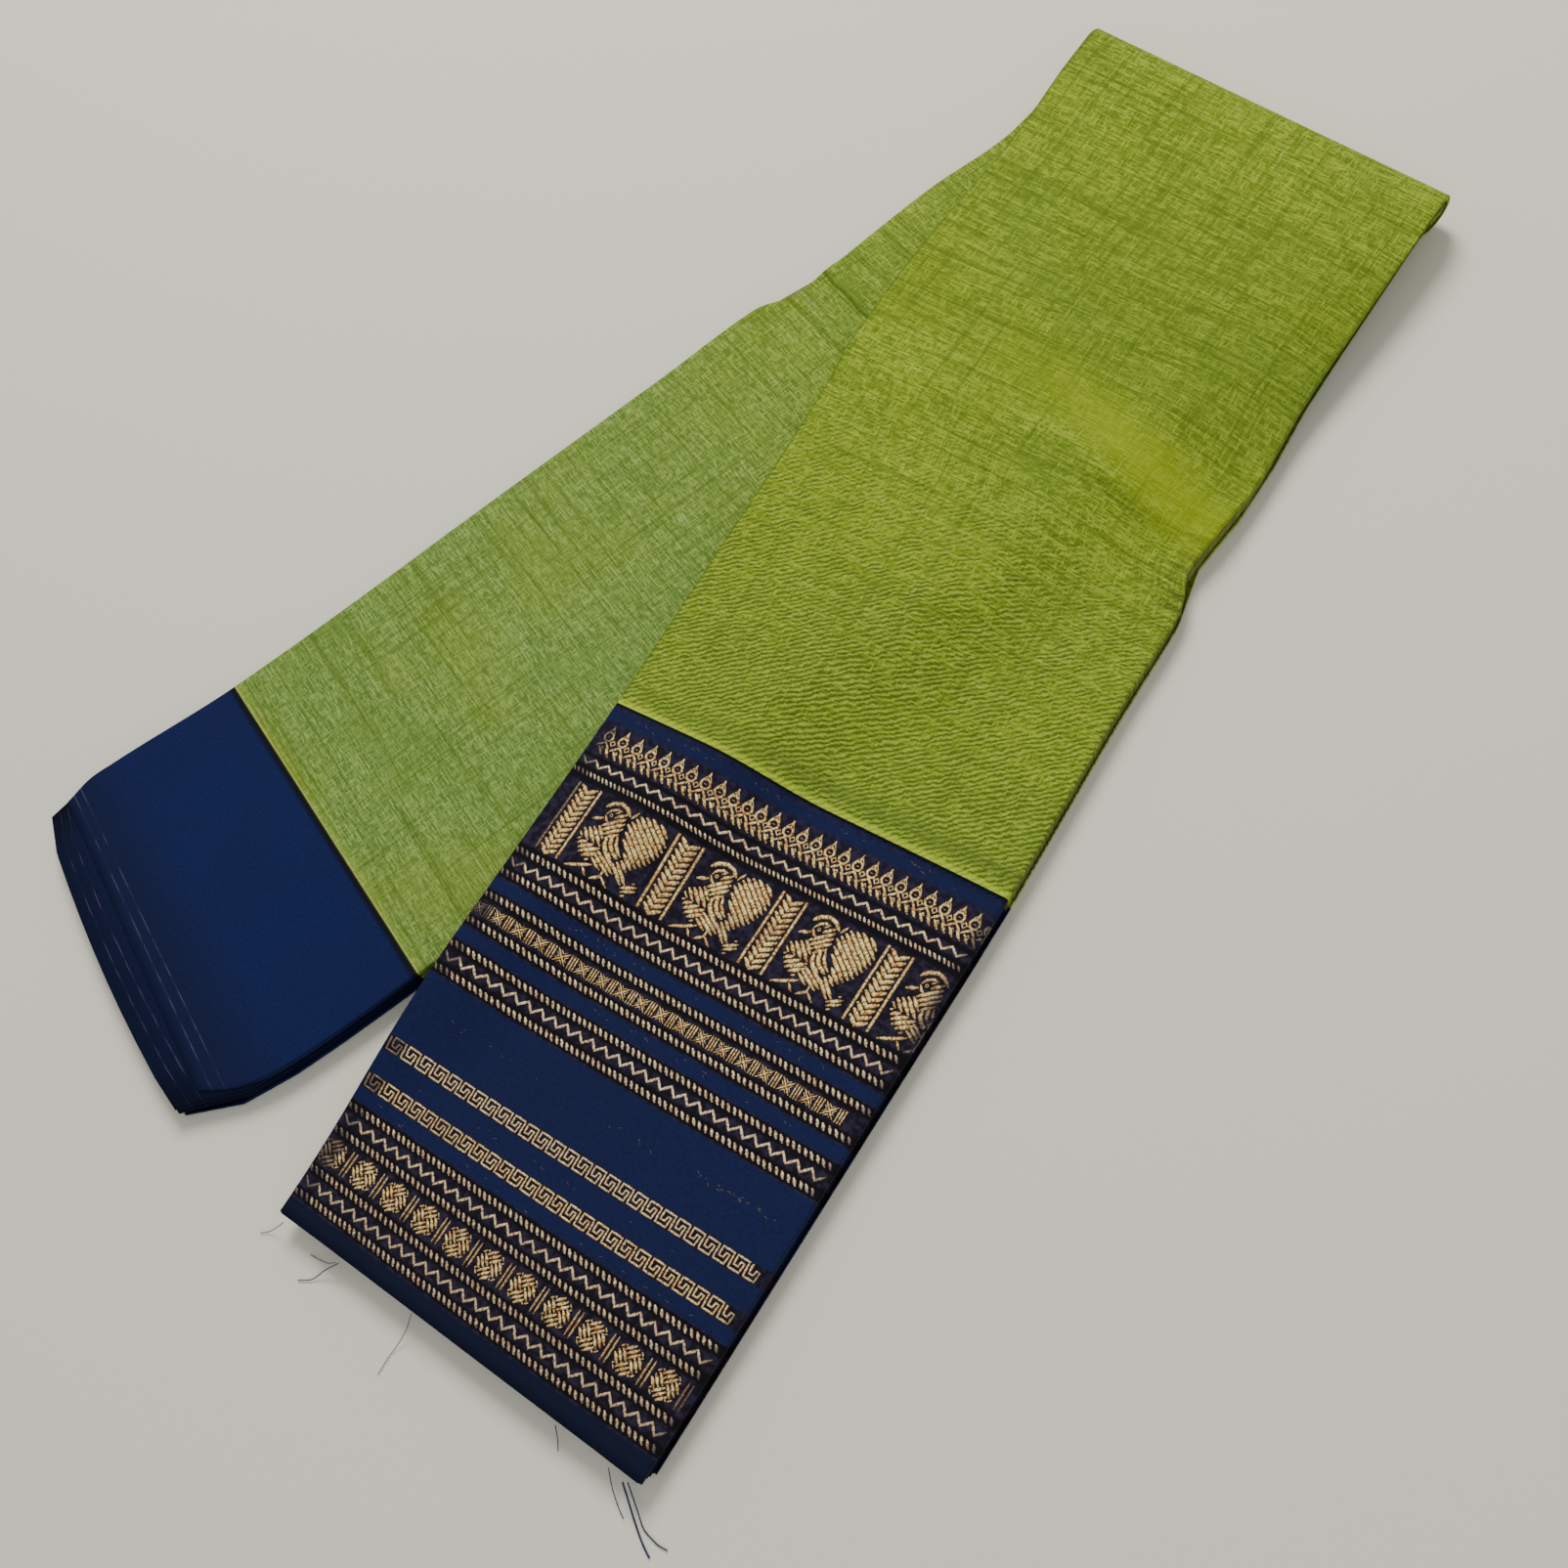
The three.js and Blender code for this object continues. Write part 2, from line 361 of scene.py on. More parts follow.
def slab_faces(count_lines, count_path):
    """Quads of a closed slab whose vertices are the front grid, then the back grid."""
    n = count_lines * count_path
    i, j = np.meshgrid(np.arange(count_lines - 1), np.arange(count_path - 1), indexing="ij")
    a = (i * count_path + j).ravel()
    front = np.stack([a, a + 1, a + count_path + 1, a + count_path], axis=1)
    back = (front + n)[:, ::-1]
    j = np.arange(count_path - 1)
    last = (count_lines - 1) * count_path
    start = np.stack([j, j + n, j + n + 1, j + 1], axis=1)
    finish = last + np.stack([j, j + 1, j + n + 1, j + n], axis=1)
    i = np.arange(count_lines - 1) * count_path
    k = i + count_path - 1
    near = np.stack([i, i + count_path, i + count_path + n, i + n], axis=1)
    far = np.stack([k, k + n, k + count_path + n, k + count_path], axis=1)
    return np.concatenate([front, back, start, finish, near, far])


def strip_place(lines, share):
    """How far along the whole strip each line lies, from the plain end."""
    along = np.where(lines.part == 2, BOTTOM.length + PACK + lines.along, lines.along)
    along = np.where(lines.part == 1, BOTTOM.length + PACK * (lines.angle / math.pi + 0.5), along)
    return np.broadcast_to(along[:, None], share.shape)


def weave_drift(a, b):
    """How far the woven bands wander down the border, in millimetres, bent at both edges."""
    t = a / ZARI_WIDTH * 2 - 1
    left = 2.1 * (1 - b / 190)
    right = -0.9 - 0.8 * b / 220
    return t * (right - left) / 2 + t * t * (right + left) / 2


def band_place(lines, share):
    """How far down the brocade's own pattern each point lies, in millimetres; far above it on the rest."""
    down = np.broadcast_to((lines.along[:, None] - ZARI_START) / MM, share.shape)
    down = np.where(lines.part[:, None] == 2, down, -300.0)
    return down - np.where(down > -20, weave_drift(share * ZARI_WIDTH, np.maximum(down, 0)), 0.0)


def is_navy(lines):
    """Which gaps between the lines lie in a border."""
    plain = (lines.part == 0) & (lines.along < PLAIN_BORDER - 1e-6)
    zari = (lines.part == 2) & (lines.along >= ZARI_START - 1e-6)
    return (plain | zari)[:-1]


def weave_of(points, share, lines):
    """Position across and along the threads, in metres, and which leg: the upper leg's runs over the fold."""
    x, y = points[..., 0], points[..., 1]
    upper = (lines.part >= 1)[:, None]
    around = (math.pi / 2 - lines.angle) * (PACK + BETWEEN_LEGS / 2)
    along_upper = np.where(lines.part == 1, around, -lines.along)[:, None]
    across = np.where(upper, (share - 0.5) * UPPER_WIDTH, x * math.cos(FOLD_SLANT) - y * math.sin(FOLD_SLANT))
    along = np.where(upper, along_upper, x * math.sin(FOLD_SLANT) + y * math.cos(FOLD_SLANT))
    return np.stack([across, along, np.broadcast_to(upper * 1.0, x.shape)], axis=-1)


def add_layers(maker, lines, path, wall=0.0, relief=0.0, sag=0.0):
    """Adds one thin layer, or a folded run of layers, as a closed slab."""
    front, share = place(lines, path, 1, relief, sag)
    back, _ = place(lines, path, -1, relief, sag)
    both = np.concatenate([front.reshape(-1, 3), back.reshape(-1, 3)])
    both[:, :2] -= FOLD_FROM_ORIGIN
    faces = slab_faces(*share.shape)
    columns = share.shape[1] - 1
    gaps = is_navy(lines).astype(int)
    skin = np.repeat(gaps, columns)
    slots = np.concatenate([skin, skin, np.ones(2 * columns, int), gaps, gaps])
    strip = np.stack([share, strip_place(lines, share), np.broadcast_to(wall, share.shape)], axis=-1)
    band = np.tile(band_place(lines, share).ravel(), 2)
    maker.add(both, faces, slots, strip=np.tile(strip.reshape(-1, 3), (2, 1)), band=band,
              weave=np.concatenate([weave_of(side, share, lines).reshape(-1, 3) for side in (front, back)]))
    return front


def skin_relief(lines, path, part):
    """Small puckers on the side of a skin that shows, strongest at the old crease."""
    share = (path.side + 1) / 2
    x, y = points_across(lines, share)
    crease = TOP_CREASE if part == 2 else BOTTOM_CREASE
    off = (y - crease.y - crease.slope * x) / MM
    near = np.exp(-(off / 26) ** 2)
    pucker = 0.5 + 0.5 * np.sin(off / 1.9 + 2.2 * np.sin(x / 0.011) + 1.4 * np.sin(x / 0.0047 + off / 9))
    crumple = np.sin(y / 0.0036 + 2.5 * np.sin(x / 0.0067))
    crumple = 0.5 + 0.5 * np.sin(x / 0.0031 + 2.0 * np.sin(y / 0.0052)) * crumple
    amount = (0.16 * near * pucker + 0.05 * crumple) * MM
    by_edge = smooth((share - 0.84) / 0.12) * np.exp(-((off + 6) / 20) ** 2) * (part == 2)
    gathers = 0.5 + 0.5 * np.sin(off / 1.6 + 9 * share + 1.5 * np.sin(off / 5))
    amount = amount + 0.7 * MM * by_edge * gathers
    trough = 0.35 * MM * np.exp(-((off - 9) / 1.1) ** 2) * (1 if part == 0 else 0.25)
    shows = (lines.part == part)[:, None]
    return np.where(shows, amount - trough, 0.0)


def build_cloth(materials):
    maker = MeshMaker()
    low_crease, high_crease = BOTTOM.where("crease"), TOP.where("crease")
    near = 30 * MM
    outer = sweep_lines(
        [(0, PLAIN_BORDER, 20 * MM), (PLAIN_BORDER, BOTTOM.length, 26 * MM)], 16,
        [(0, high_crease - near, 4 * MM), (high_crease - near, high_crease + near, 2 * MM),
         (high_crease + near, ZARI_START, 4 * MM), (ZARI_START, TOP.length, 4 * MM)],
    )
    path = skin_path(CLOTH / 2, 1, 50, 0, 1.3 * MM)
    front = add_layers(maker, outer, path, relief=skin_relief(outer, path, 2))
    inner = sweep_lines(
        [(0, PLAIN_BORDER, 4 * MM), (PLAIN_BORDER, low_crease - near, 6 * MM),
         (low_crease - near, low_crease + near, 2 * MM), (low_crease + near, BOTTOM.length, 6 * MM)], 8,
        [(0, ZARI_START, 26 * MM), (ZARI_START, TOP.length, 26 * MM)],
    )
    inside = skin_path(PACK - CLOTH / 2, -1, 46, LAYERS - 1, 1.0 * MM)
    add_layers(maker, inner, inside, relief=skin_relief(inner, inside, 0))
    between = sweep_lines(
        [(0, PLAIN_BORDER, 22 * MM), (PLAIN_BORDER, BOTTOM.length, 22 * MM)], 8,
        [(0, ZARI_START, 14 * MM), (ZARI_START, TOP.length, 15 * MM)],
    )
    layers = inner_path(1, LAYERS - 2, 10)
    add_layers(maker, between, layers, (np.abs(layers.side) > 0.99) * 1.0, 0.0, HIDDEN_SAG)
    return maker.object("sari_cloth", materials), (outer, path, front)


class Nodes:
    """Short ways to add and join shader nodes."""

    def __init__(self, tree):
        self.tree = tree

    def join(self, source, target):
        if hasattr(source, "is_output"):
            self.tree.links.new(source, target)
        else:
            target.default_value = source

    def fill(self, node, values):
        """Joins or sets a node's inputs by name."""
        for name, value in values.items():
            self.join(value, node.inputs[name])

    def node(self, kind, *values, **settings):
        """A new node, with values for its first inputs in order."""
        made = self.tree.nodes.new(kind)
        for key, value in settings.items():
            setattr(made, key, value)
        for socket, value in zip(made.inputs, values):
            self.join(value, socket)
        return made

    def math(self, operation, a, b=0.0, c=0.0):
        return self.node("ShaderNodeMath", a, b, c, operation=operation).outputs[0]

    def times(self, *values):
        product = values[0]
        for value in values[1:]:
            product = self.math("MULTIPLY", product, value)
        return product

    def apart(self, a, b):
        return self.math("ABSOLUTE", self.math("SUBTRACT", a, b))

    def vector(self, name):
        return self.node("ShaderNodeAttribute", attribute_name=name).outputs["Vector"]

    def number(self, name):
        return self.node("ShaderNodeAttribute", attribute_name=name).outputs["Fac"]

    def split(self, vector):
        return self.node("ShaderNodeSeparateXYZ", vector).outputs

    def combine(self, x, y, z):
        return self.node("ShaderNodeCombineXYZ", x, y, z).outputs[0]

    def noise(self, vector, scale, detail=2.0, roughness=0.5, distortion=0.0):
        made = self.node("ShaderNodeTexNoise")
        self.fill(made, {"Vector": vector, "Scale": scale, "Detail": detail, "Roughness": roughness,
                         "Distortion": distortion})
        return made.outputs[0]

    def range(self, value, low, high, most=1.0, least=0.0, steps="SMOOTHSTEP"):
        """From least to most as the value goes from low to high."""
        made = self.node("ShaderNodeMapRange", value, low, high, least, most, interpolation_type=steps)
        return made.outputs[0]

    def linear(self, value, low, high, most=1.0, least=0.0):
        return self.range(value, low, high, most, least, "LINEAR")

    def mix(self, factor, a, b):
        made = self.node("ShaderNodeMix", data_type="RGBA")
        self.join(factor, made.inputs[0])
        self.join(a, made.inputs[6])
        self.join(b, made.inputs[7])
        return made.outputs[2]

    def over(self, colour, tone, *amounts):
        """A tone laid over a colour by the product of the amounts."""
        return self.mix(self.times(*amounts), colour, srgb(*tone))

    def tinted(self, colour, *tints):
        """Turns a colour toward each tone in turn, as that tone's value goes from low to high."""
        for value, low, high, most, tone in tints:
            colour = self.over(colour, tone, self.range(value, low, high, most))
        return colour

    def ramp(self, value, stops):
        made = self.node("ShaderNodeValToRGB", value)
        elements = made.color_ramp.elements
        while len(elements) < len(stops):
            elements.new(0.5)
        for element, (position, colour) in zip(elements, stops):
            element.position = position
            element.color = colour
        return made.outputs[0]

    def bump(self, height, distance, strength, normal=None):
        made = self.node("ShaderNodeBump")
        self.fill(made, {"Height": height, "Distance": distance, "Strength": strength})
        if normal is not None:
            self.join(normal, made.inputs["Normal"])
        return made.outputs[0]


def new_material(name):
    material = bpy.data.materials.new(name)
    material.use_nodes = True
    return material, Nodes(material.node_tree), material.node_tree.nodes["Principled BSDF"]


def srgb(red, green, blue):
    """A colour given as it looks on a screen, from 0 to 255."""
    def linear(value):
        value /= 255
        return value / 12.92 if value <= 0.04045 else ((value + 0.055) / 1.055) ** 2.4
    return (linear(red), linear(green), linear(blue), 1.0)


def woven_noise(nodes, weave, across, along, detail=2.0, roughness=0.5, distortion=0.0):
    """Noise drawn out across or along the threads, different on each leg."""
    x, y, z = nodes.split(weave)
    at = nodes.combine(nodes.times(x, across), nodes.times(y, along), nodes.times(z, 3.7))
    return nodes.noise(at, 1.0, detail, roughness, distortion)


THREAD = 0.42 * MM
DULL = 0.12
RIB_PITCH = 2.0 * MM
RIB_LEAN = (0.79, 0.61)
BORDER_LINE = -1.0
# Where the painted shade lines of the bottom leg's old crease lie, and how strong each is
CREASE_SHADE_LINES = ((-172 * MM, 0.75), (-190 * MM, 0.5))
BORDER_ALONG_STRIP = BOTTOM.length + PACK + ZARI_START
TOP_GREENS = [(0.45, srgb(98, 124, 26)), (0.535, srgb(140, 161, 43)), (0.62, srgb(171, 191, 64))]
LOW_GREENS = [(0.45, srgb(90, 122, 52)), (0.535, srgb(126, 156, 72)), (0.62, srgb(156, 184, 98))]


def thread_grid(nodes, weave):
    """The plain weave's own relief, as a surface direction."""
    x, y, _ = nodes.split(weave)
    step = 2 * math.pi / THREAD
    over = nodes.math("SINE", nodes.times(x, step))
    under = nodes.math("SINE", nodes.times(y, step))
    return nodes.bump(nodes.times(over, under), 0.05 * MM, 0.5)


def crossed_streaks(nodes, weave, long, short, reach):
    """Short dashes of thread in both directions, as uneven yarn shows on crepe."""
    across = woven_noise(nodes, weave, long, short, 2.0, 0.6, reach)
    along = woven_noise(nodes, weave, short, long, 2.0, 0.6, reach)
    return nodes.math("MAXIMUM", across, nodes.math("SUBTRACT", along, 0.03))


def green_grain(nodes, weave):
    """The grain of the green cloth: crossed dashes with longer slubs among them."""
    dashes = crossed_streaks(nodes, weave, 220, 1350, 0.5)
    slubs = woven_noise(nodes, weave, 45, 950, 2.0, 0.6)
    return nodes.math("MULTIPLY_ADD", dashes, 0.75, nodes.times(slubs, 0.25))


def green_ground(nodes, weave, grain, along, leg):
    """Lime on the top leg and near the fold, leaf green on the bottom leg, clouded and streaked."""
    cloud = woven_noise(nodes, weave, 13, 17)
    patch = woven_noise(nodes, weave, 60, 60)
    weft_lines = woven_noise(nodes, weave, 9, 620, 1.0, 0.4)
    warp_lines = woven_noise(nodes, weave, 620, 9, 1.0, 0.4)
    near_fold = nodes.range(along, BOTTOM.where("lower half"), BOTTOM.where("upper part"), 0.75)
    limy = nodes.math("MAXIMUM", leg, near_fold)
    colour = nodes.mix(limy, nodes.ramp(grain, LOW_GREENS), nodes.ramp(grain, TOP_GREENS))
    return nodes.tinted(
        colour, (cloud, 0.45, 0.68, 0.22, (146, 160, 30)), (cloud, 0.48, 0.32, 0.28, (104, 136, 46)),
        (patch, 0.5, 0.75, 0.25, (108, 132, 32)), (weft_lines, 0.55, 0.70, 0.5, (84, 108, 24)),
        (warp_lines, 0.56, 0.70, 0.45, (86, 110, 30)))


def slanting_ribs(nodes, weave, above, leg):
    """Ribs that run aslant near the brocade border: their wave, and how strongly they show."""
    x, y, _ = nodes.split(weave)
    turned = nodes.math("SUBTRACT", nodes.times(y, RIB_LEAN[0]), nodes.times(x, RIB_LEAN[1]))
    wander = woven_noise(nodes, weave, 150, 150, 3.0, 0.65)
    wander = nodes.times(nodes.math("SUBTRACT", wander, 0.5), 13.0)
    phase = nodes.math("MULTIPLY_ADD", turned, 2 * math.pi / RIB_PITCH, wander)
    wave = nodes.math("MULTIPLY_ADD", nodes.math("SINE", phase), 0.5, 0.5)
    broken = woven_noise(nodes, weave, 170, 330, 2.0, 0.6)
    kept = nodes.linear(above, 0.0, 0.16, 0.58, 0.34)
    broken = nodes.range(nodes.math("SUBTRACT", broken, kept), -0.12, 0.12, 1.0, 0.15)
    return wave, nodes.times(nodes.range(above, 0.19, 0.10), leg, broken)


def crease_light_and_shade(nodes, colour, share, above, leg):
    """Painted light on the top leg's old crease: painted shade above it, and a yellow painted highlight where
    its ridge catches the light toward the right edge.
    """
    shade = nodes.times(nodes.range(above, 0.16, 0.21), nodes.range(above, 0.34, 0.27))
    shade = nodes.times(shade, nodes.range(share, 0.1, 0.6, 0.26, 0.12))
    colour = nodes.over(colour, (96, 118, 30), shade, leg)
    off = nodes.apart(above, nodes.math("MULTIPLY_ADD", share, -0.055, 0.225))
    amount = nodes.times(nodes.range(off, 0.021, 0.0), nodes.range(share, 0.25, 0.8, 0.62))
    return nodes.over(colour, (156, 172, 26), amount, leg)


def pinch_wrinkle_shade(nodes, colour, weave, share, above, leg):
    """Painted shade of short puckers where the old crease meets the top leg's right edge."""
    near = nodes.range(nodes.apart(above, 0.145), 0.034, 0.008)
    near = nodes.times(near, nodes.range(share, 0.9, 0.985), leg)
    folds = woven_noise(nodes, weave, 90, 520, 1.0, 0.5)
    return nodes.over(colour, (72, 86, 34), near, nodes.range(folds, 0.5, 0.6, 0.5))


def crease_shade_lines(nodes, colour, weave, lengthwise, leg):
    """Painted shade along the two folds of the old crease across the bottom leg."""
    bend = nodes.times(nodes.math("SUBTRACT", nodes.noise(weave, 60, 2.0), 0.5), 5 * MM)
    below_fold = nodes.math("LESS_THAN", leg, 0.5)
    for at, strength in CREASE_SHADE_LINES:
        off = nodes.apart(nodes.math("ADD", lengthwise, bend), at)
        amount = nodes.times(nodes.range(off, 1.3 * MM, 0.3 * MM, strength), below_fold)
        colour = nodes.over(colour, (72, 98, 18), amount)
    return colour


def green_edges(nodes, colour, along, share):
    """Where the green meets the borders: a bright line of warp, then a thin black one."""
    off = nodes.apart(along, PLAIN_BORDER)
    colour = nodes.tinted(
        colour, (off, 6 * MM, 1 * MM, 0.25, (160, 176, 52)), (off, 1.5 * MM, 0.9 * MM, 0.6, (190, 198, 96)),
        (off, 0.8 * MM, 0.4 * MM, 0.95, (14, 18, 12)))
    band = nodes.number("band")
    shade = nodes.times(nodes.range(band, -15, -10), nodes.range(band, -5, -8))
    shade = nodes.times(shade, nodes.range(share, 0.05, 0.5, 0.42, 0.15))
    return border_lines(nodes, nodes.over(colour, (92, 112, 46), shade), band)


def border_lines(nodes, colour, band):
    """The brocade border's upper line, wherever the weave carries it: bright green, black, navy."""
    return nodes.tinted(
        colour, (band, BORDER_LINE - 3.2, BORDER_LINE - 1.5, 0.8, (184, 204, 62)),
        (band, BORDER_LINE - 0.3, BORDER_LINE, 1.0, (8, 11, 12)),
        (band, BORDER_LINE + 0.7, BORDER_LINE + 1.2, 1.0, (16, 27, 66)))


def green_cotton():
    material, nodes, shader = new_material("green_cotton_weave")
    weave = nodes.vector("weave")
    _, lengthwise, leg = nodes.split(weave)
    share, along, wall = nodes.split(nodes.vector("strip"))
    above = nodes.math("SUBTRACT", BORDER_ALONG_STRIP, along)
    grain = green_grain(nodes, weave)
    wave, ribbed = slanting_ribs(nodes, weave, above, leg)
    colour = green_ground(nodes, weave, grain, along, leg)
    # Painted highlight on the ribs' crests and painted shade in their troughs
    lit, dark = nodes.range(wave, 0.5, 0.95, 0.6), nodes.range(wave, 0.5, 0.08, 0.8)
    colour = nodes.over(colour, (170, 190, 78), ribbed, lit)
    colour = nodes.over(colour, (82, 108, 24), ribbed, dark)
    colour = crease_light_and_shade(nodes, colour, share, above, leg)
    colour = pinch_wrinkle_shade(nodes, colour, weave, share, above, leg)
    colour = crease_shade_lines(nodes, colour, weave, lengthwise, leg)
    # A painted contact shadow along the top leg's left edge
    left_edge_shadow = nodes.times(nodes.range(share, 0.009, 0.002, 0.6), leg)
    colour = nodes.over(colour, (72, 94, 30), left_edge_shadow)
    colour = green_edges(nodes, colour, along, share)
    # Painted shade on the pack's side walls: turned grey-olive, as the shaded side of the stack looks
    colour = nodes.over(colour, (128, 124, 88), wall, 0.5)
    relief = nodes.math("ADD", grain, nodes.times(wave, ribbed, 0.35))
    normal = nodes.bump(relief, 1.3 * MM, 1.0, thread_grid(nodes, weave))
    nodes.fill(shader, {
        "Base Color": colour, "Roughness": 0.85, "Specular IOR Level": DULL, "Normal": normal})
    return material


# Where the pink stripes lie, from the plain end
PINK_STRIPES = (4.6 * MM, 8.9 * MM)
# The brocade's ground down the border: (millimetres, darkness), from plain navy at 0 to black at 1
UPPER_GROUND = [
    (0, 0.5), (3, 0), (5.5, 0), (7.5, 0.7), (21, 0.7), (21.6, 1), (22.6, 1), (23.2, 0.75), (26, 0.75),
    (26.8, 1), (32, 1), (33, 0.75), (64.4, 0.75), (65, 1), (70, 1), (70.8, 0.75), (75, 0.75), (75.6, 1),
    (79.8, 1), (81, 0), (85.4, 0), (86, 1), (90, 1), (90.8, 0.75), (97.2, 0.75), (97.8, 1), (101.6, 1),
    (102.8, 0),
]
LOWER_GROUND = [
    (107.6, 0), (108.3, 1), (112.2, 1), (113, 0.75), (117.6, 0.75), (118.4, 1), (122.4, 1), (123.4, 0),
    (149.6, 0), (150, 0.8), (155.9, 0.8), (156.3, 0), (165, 0), (165.4, 0.8), (171.2, 0.8), (171.8, 0),
    (176.6, 0), (177.2, 1), (181, 1), (182, 0.75), (186.6, 0.75), (187.4, 1), (191, 1), (191.8, 0.75),
    (203, 0.75), (203.6, 1), (207.2, 1), (208, 0.75), (212.6, 0.75), (213.4, 1), (217, 1), (218.4, 0.1),
]


def ground_darkness(nodes, band, stops):
    start, end = stops[0][0], stops[-1][0]
    grey = [((at - start) / (end - start), (value, value, value, 1)) for at, value in stops]
    place_in = nodes.linear(band, start, end)
    inside = nodes.times(nodes.math("GREATER_THAN", band, start), nodes.math("LESS_THAN", band, end))
    return nodes.times(nodes.ramp(place_in, grey), inside)


def brocade_ground(nodes, colour, weave, band):
    """The darker, purplish warp under the brocade bands, black where a cord of thread is held down."""
    upper, lower = (ground_darkness(nodes, band, stops) for stops in (UPPER_GROUND, LOWER_GROUND))
    dark = nodes.math("ADD", upper, lower)
    colour = nodes.tinted(colour, (band, -10, 0, 0.35, (24, 29, 52)))
    uneven = woven_noise(nodes, weave, 420, 420, 2.0, 0.6)
    purple = nodes.mix(nodes.range(uneven, 0.4, 0.65), srgb(20, 16, 30), srgb(42, 36, 56))
    colour = nodes.mix(nodes.linear(dark, 0.0, 0.75), colour, purple)
    return nodes.over(colour, (10, 7, 12), nodes.linear(dark, 0.75, 1.0, 0.92))


def pink_stripes(nodes, colour, weave, along):
    """Two fine pinkish lines near the plain end's own edge, broken here and there."""
    for at in PINK_STRIPES:
        broken = nodes.range(woven_noise(nodes, weave, 110, 10), 0.4, 0.62, 1.0, 0.1)
        line = nodes.times(nodes.range(nodes.apart(along, at), 0.3 * MM, 0.1 * MM), broken)
        colour = nodes.over(colour, (112, 98, 128), line, 0.4)
    return colour


def navy_cotton():
    material, nodes, shader = new_material("navy_cotton_weave")
    weave, band = nodes.vector("weave"), nodes.number("band")
    _, along, wall = nodes.split(nodes.vector("strip"))
    fine = woven_noise(nodes, weave, 700, 1500, 2.0, 0.6)
    cloud = woven_noise(nodes, weave, 18, 18)
    colour = nodes.ramp(fine, [(0.3, srgb(12, 21, 60)), (0.7, srgb(20, 34, 86))])
    colour = nodes.tinted(colour, (cloud, 0.35, 0.7, 0.3, (15, 24, 60)))
    colour = brocade_ground(nodes, colour, weave, band)
    plain_selvedge = nodes.range(along, 40 * MM, 8 * MM, 0.6)
    selvedge = nodes.math("ADD", nodes.range(band, 217.4, 218.4), plain_selvedge)
    colour = nodes.over(colour, (14, 19, 38), selvedge, 0.85)
    colour = pink_stripes(nodes, colour, weave, along)
    beside_green = nodes.apart(along, PLAIN_BORDER)
    colour = nodes.tinted(colour, (beside_green, 3.2 * MM, 0.8 * MM, 0.9, (8, 12, 16)))
    below_line = nodes.math("LESS_THAN", band, BORDER_LINE + 1.2)
    beside_line = nodes.times(nodes.math("GREATER_THAN", band, -20), below_line)
    colour = nodes.mix(beside_line, colour, border_lines(nodes, srgb(150, 172, 50), band))
    # Painted shade on the pack's side walls
    colour = nodes.over(colour, (6, 9, 20), wall, 0.6)
    normal = nodes.bump(fine, 0.15 * MM, 0.6, thread_grid(nodes, weave))
    nodes.fill(shader, {
        "Base Color": colour, "Roughness": 0.8, "Specular IOR Level": DULL, "Normal": normal})
    return material


# Thread colours from dark to pale, picked by the glints noise: partly the thread's own colour, partly painted
# glints at the pale end
GOLD = [(0.38, srgb(114, 70, 24)), (0.46, srgb(210, 157, 74)), (0.54, srgb(255, 239, 168))]
SILVER = [(0.36, srgb(136, 106, 84)), (0.47, srgb(210, 186, 156)), (0.58, srgb(255, 246, 222))]


def thread_gold(nodes, glints, weave, thin):
    """Gold with painted glints, copper spots and dull patches, and paler on the thin silvery floats."""
    patches = nodes.noise(weave, 45, 2.0, 0.5)
    red_spots = nodes.noise(weave, 300, 2.0, 0.6)
    colour = nodes.ramp(glints, GOLD)
    colour = nodes.tinted(
        colour, (red_spots, 0.5, 0.66, 0.5, (206, 116, 60)), (patches, 0.5, 0.36, 0.4, (150, 114, 84)))
    return nodes.mix(nodes.times(thin, 0.6), colour, nodes.ramp(glints, SILVER))


def zari_metal():
    material, nodes, shader = new_material("copper_zari_thread")
    u, v, tint = nodes.split(nodes.vector("float_at"))
    on_thread = nodes.combine(nodes.times(u, 0.9), nodes.times(v, 1300), nodes.times(tint, 40))
    glints = nodes.noise(on_thread, 1.0, 2.0, 0.65)
    weave = nodes.vector("weave")
    thin = nodes.linear(tint, 0.0, -1.0)
    colour = thread_gold(nodes, glints, weave, thin)
    # Brown toward each stroke's sides: partly the brown ground between the floats, partly painted shade
    # beside each raised float, which leaves a painted highlight down its middle
    gap = nodes.mix(thin, srgb(92, 54, 18), srgb(72, 42, 26))
    colour = nodes.mix(nodes.range(nodes.math("ABSOLUTE", u), 0.45, 0.84), colour, gap)
    low = nodes.times(nodes.range(nodes.split(weave)[1], 0.165, 0.2, 0.4), thin)
    colour = nodes.over(colour, (64, 42, 34), low)
    colour = nodes.over(colour, (92, 66, 56), nodes.linear(tint, 0.7, 0.9, 0.45))
    colour = nodes.over(colour, (84, 70, 84), nodes.linear(tint, 1.4, 1.6, 0.6))
    share = nodes.split(nodes.vector("strip"))[0]
    # Painted shade near both edges of the strip, where the border curves away and its floats lose their
    # reflection
    edge = nodes.math("MAXIMUM", nodes.range(share, 0.05, 0.04), nodes.range(share, 0.958, 0.99))
    colour = nodes.over(colour, (48, 38, 50), edge, 0.82)
    normal = nodes.bump(glints, 0.25 * MM, 0.9)
    nodes.fill(shader, {"Base Color": colour, "Metallic": 0.1, "Roughness": 0.4, "Normal": normal})
    return material


def thread_material():
    material, nodes, shader = new_material("loose_thread_cotton")
    twist = nodes.noise(nodes.vector("float_at"), 900, 2.0, 0.5)
    colour = nodes.ramp(twist, [(0.3, srgb(16, 22, 48)), (0.7, srgb(40, 50, 92))])
    nodes.fill(shader, {"Base Color": colour, "Roughness": 0.8})
    return material


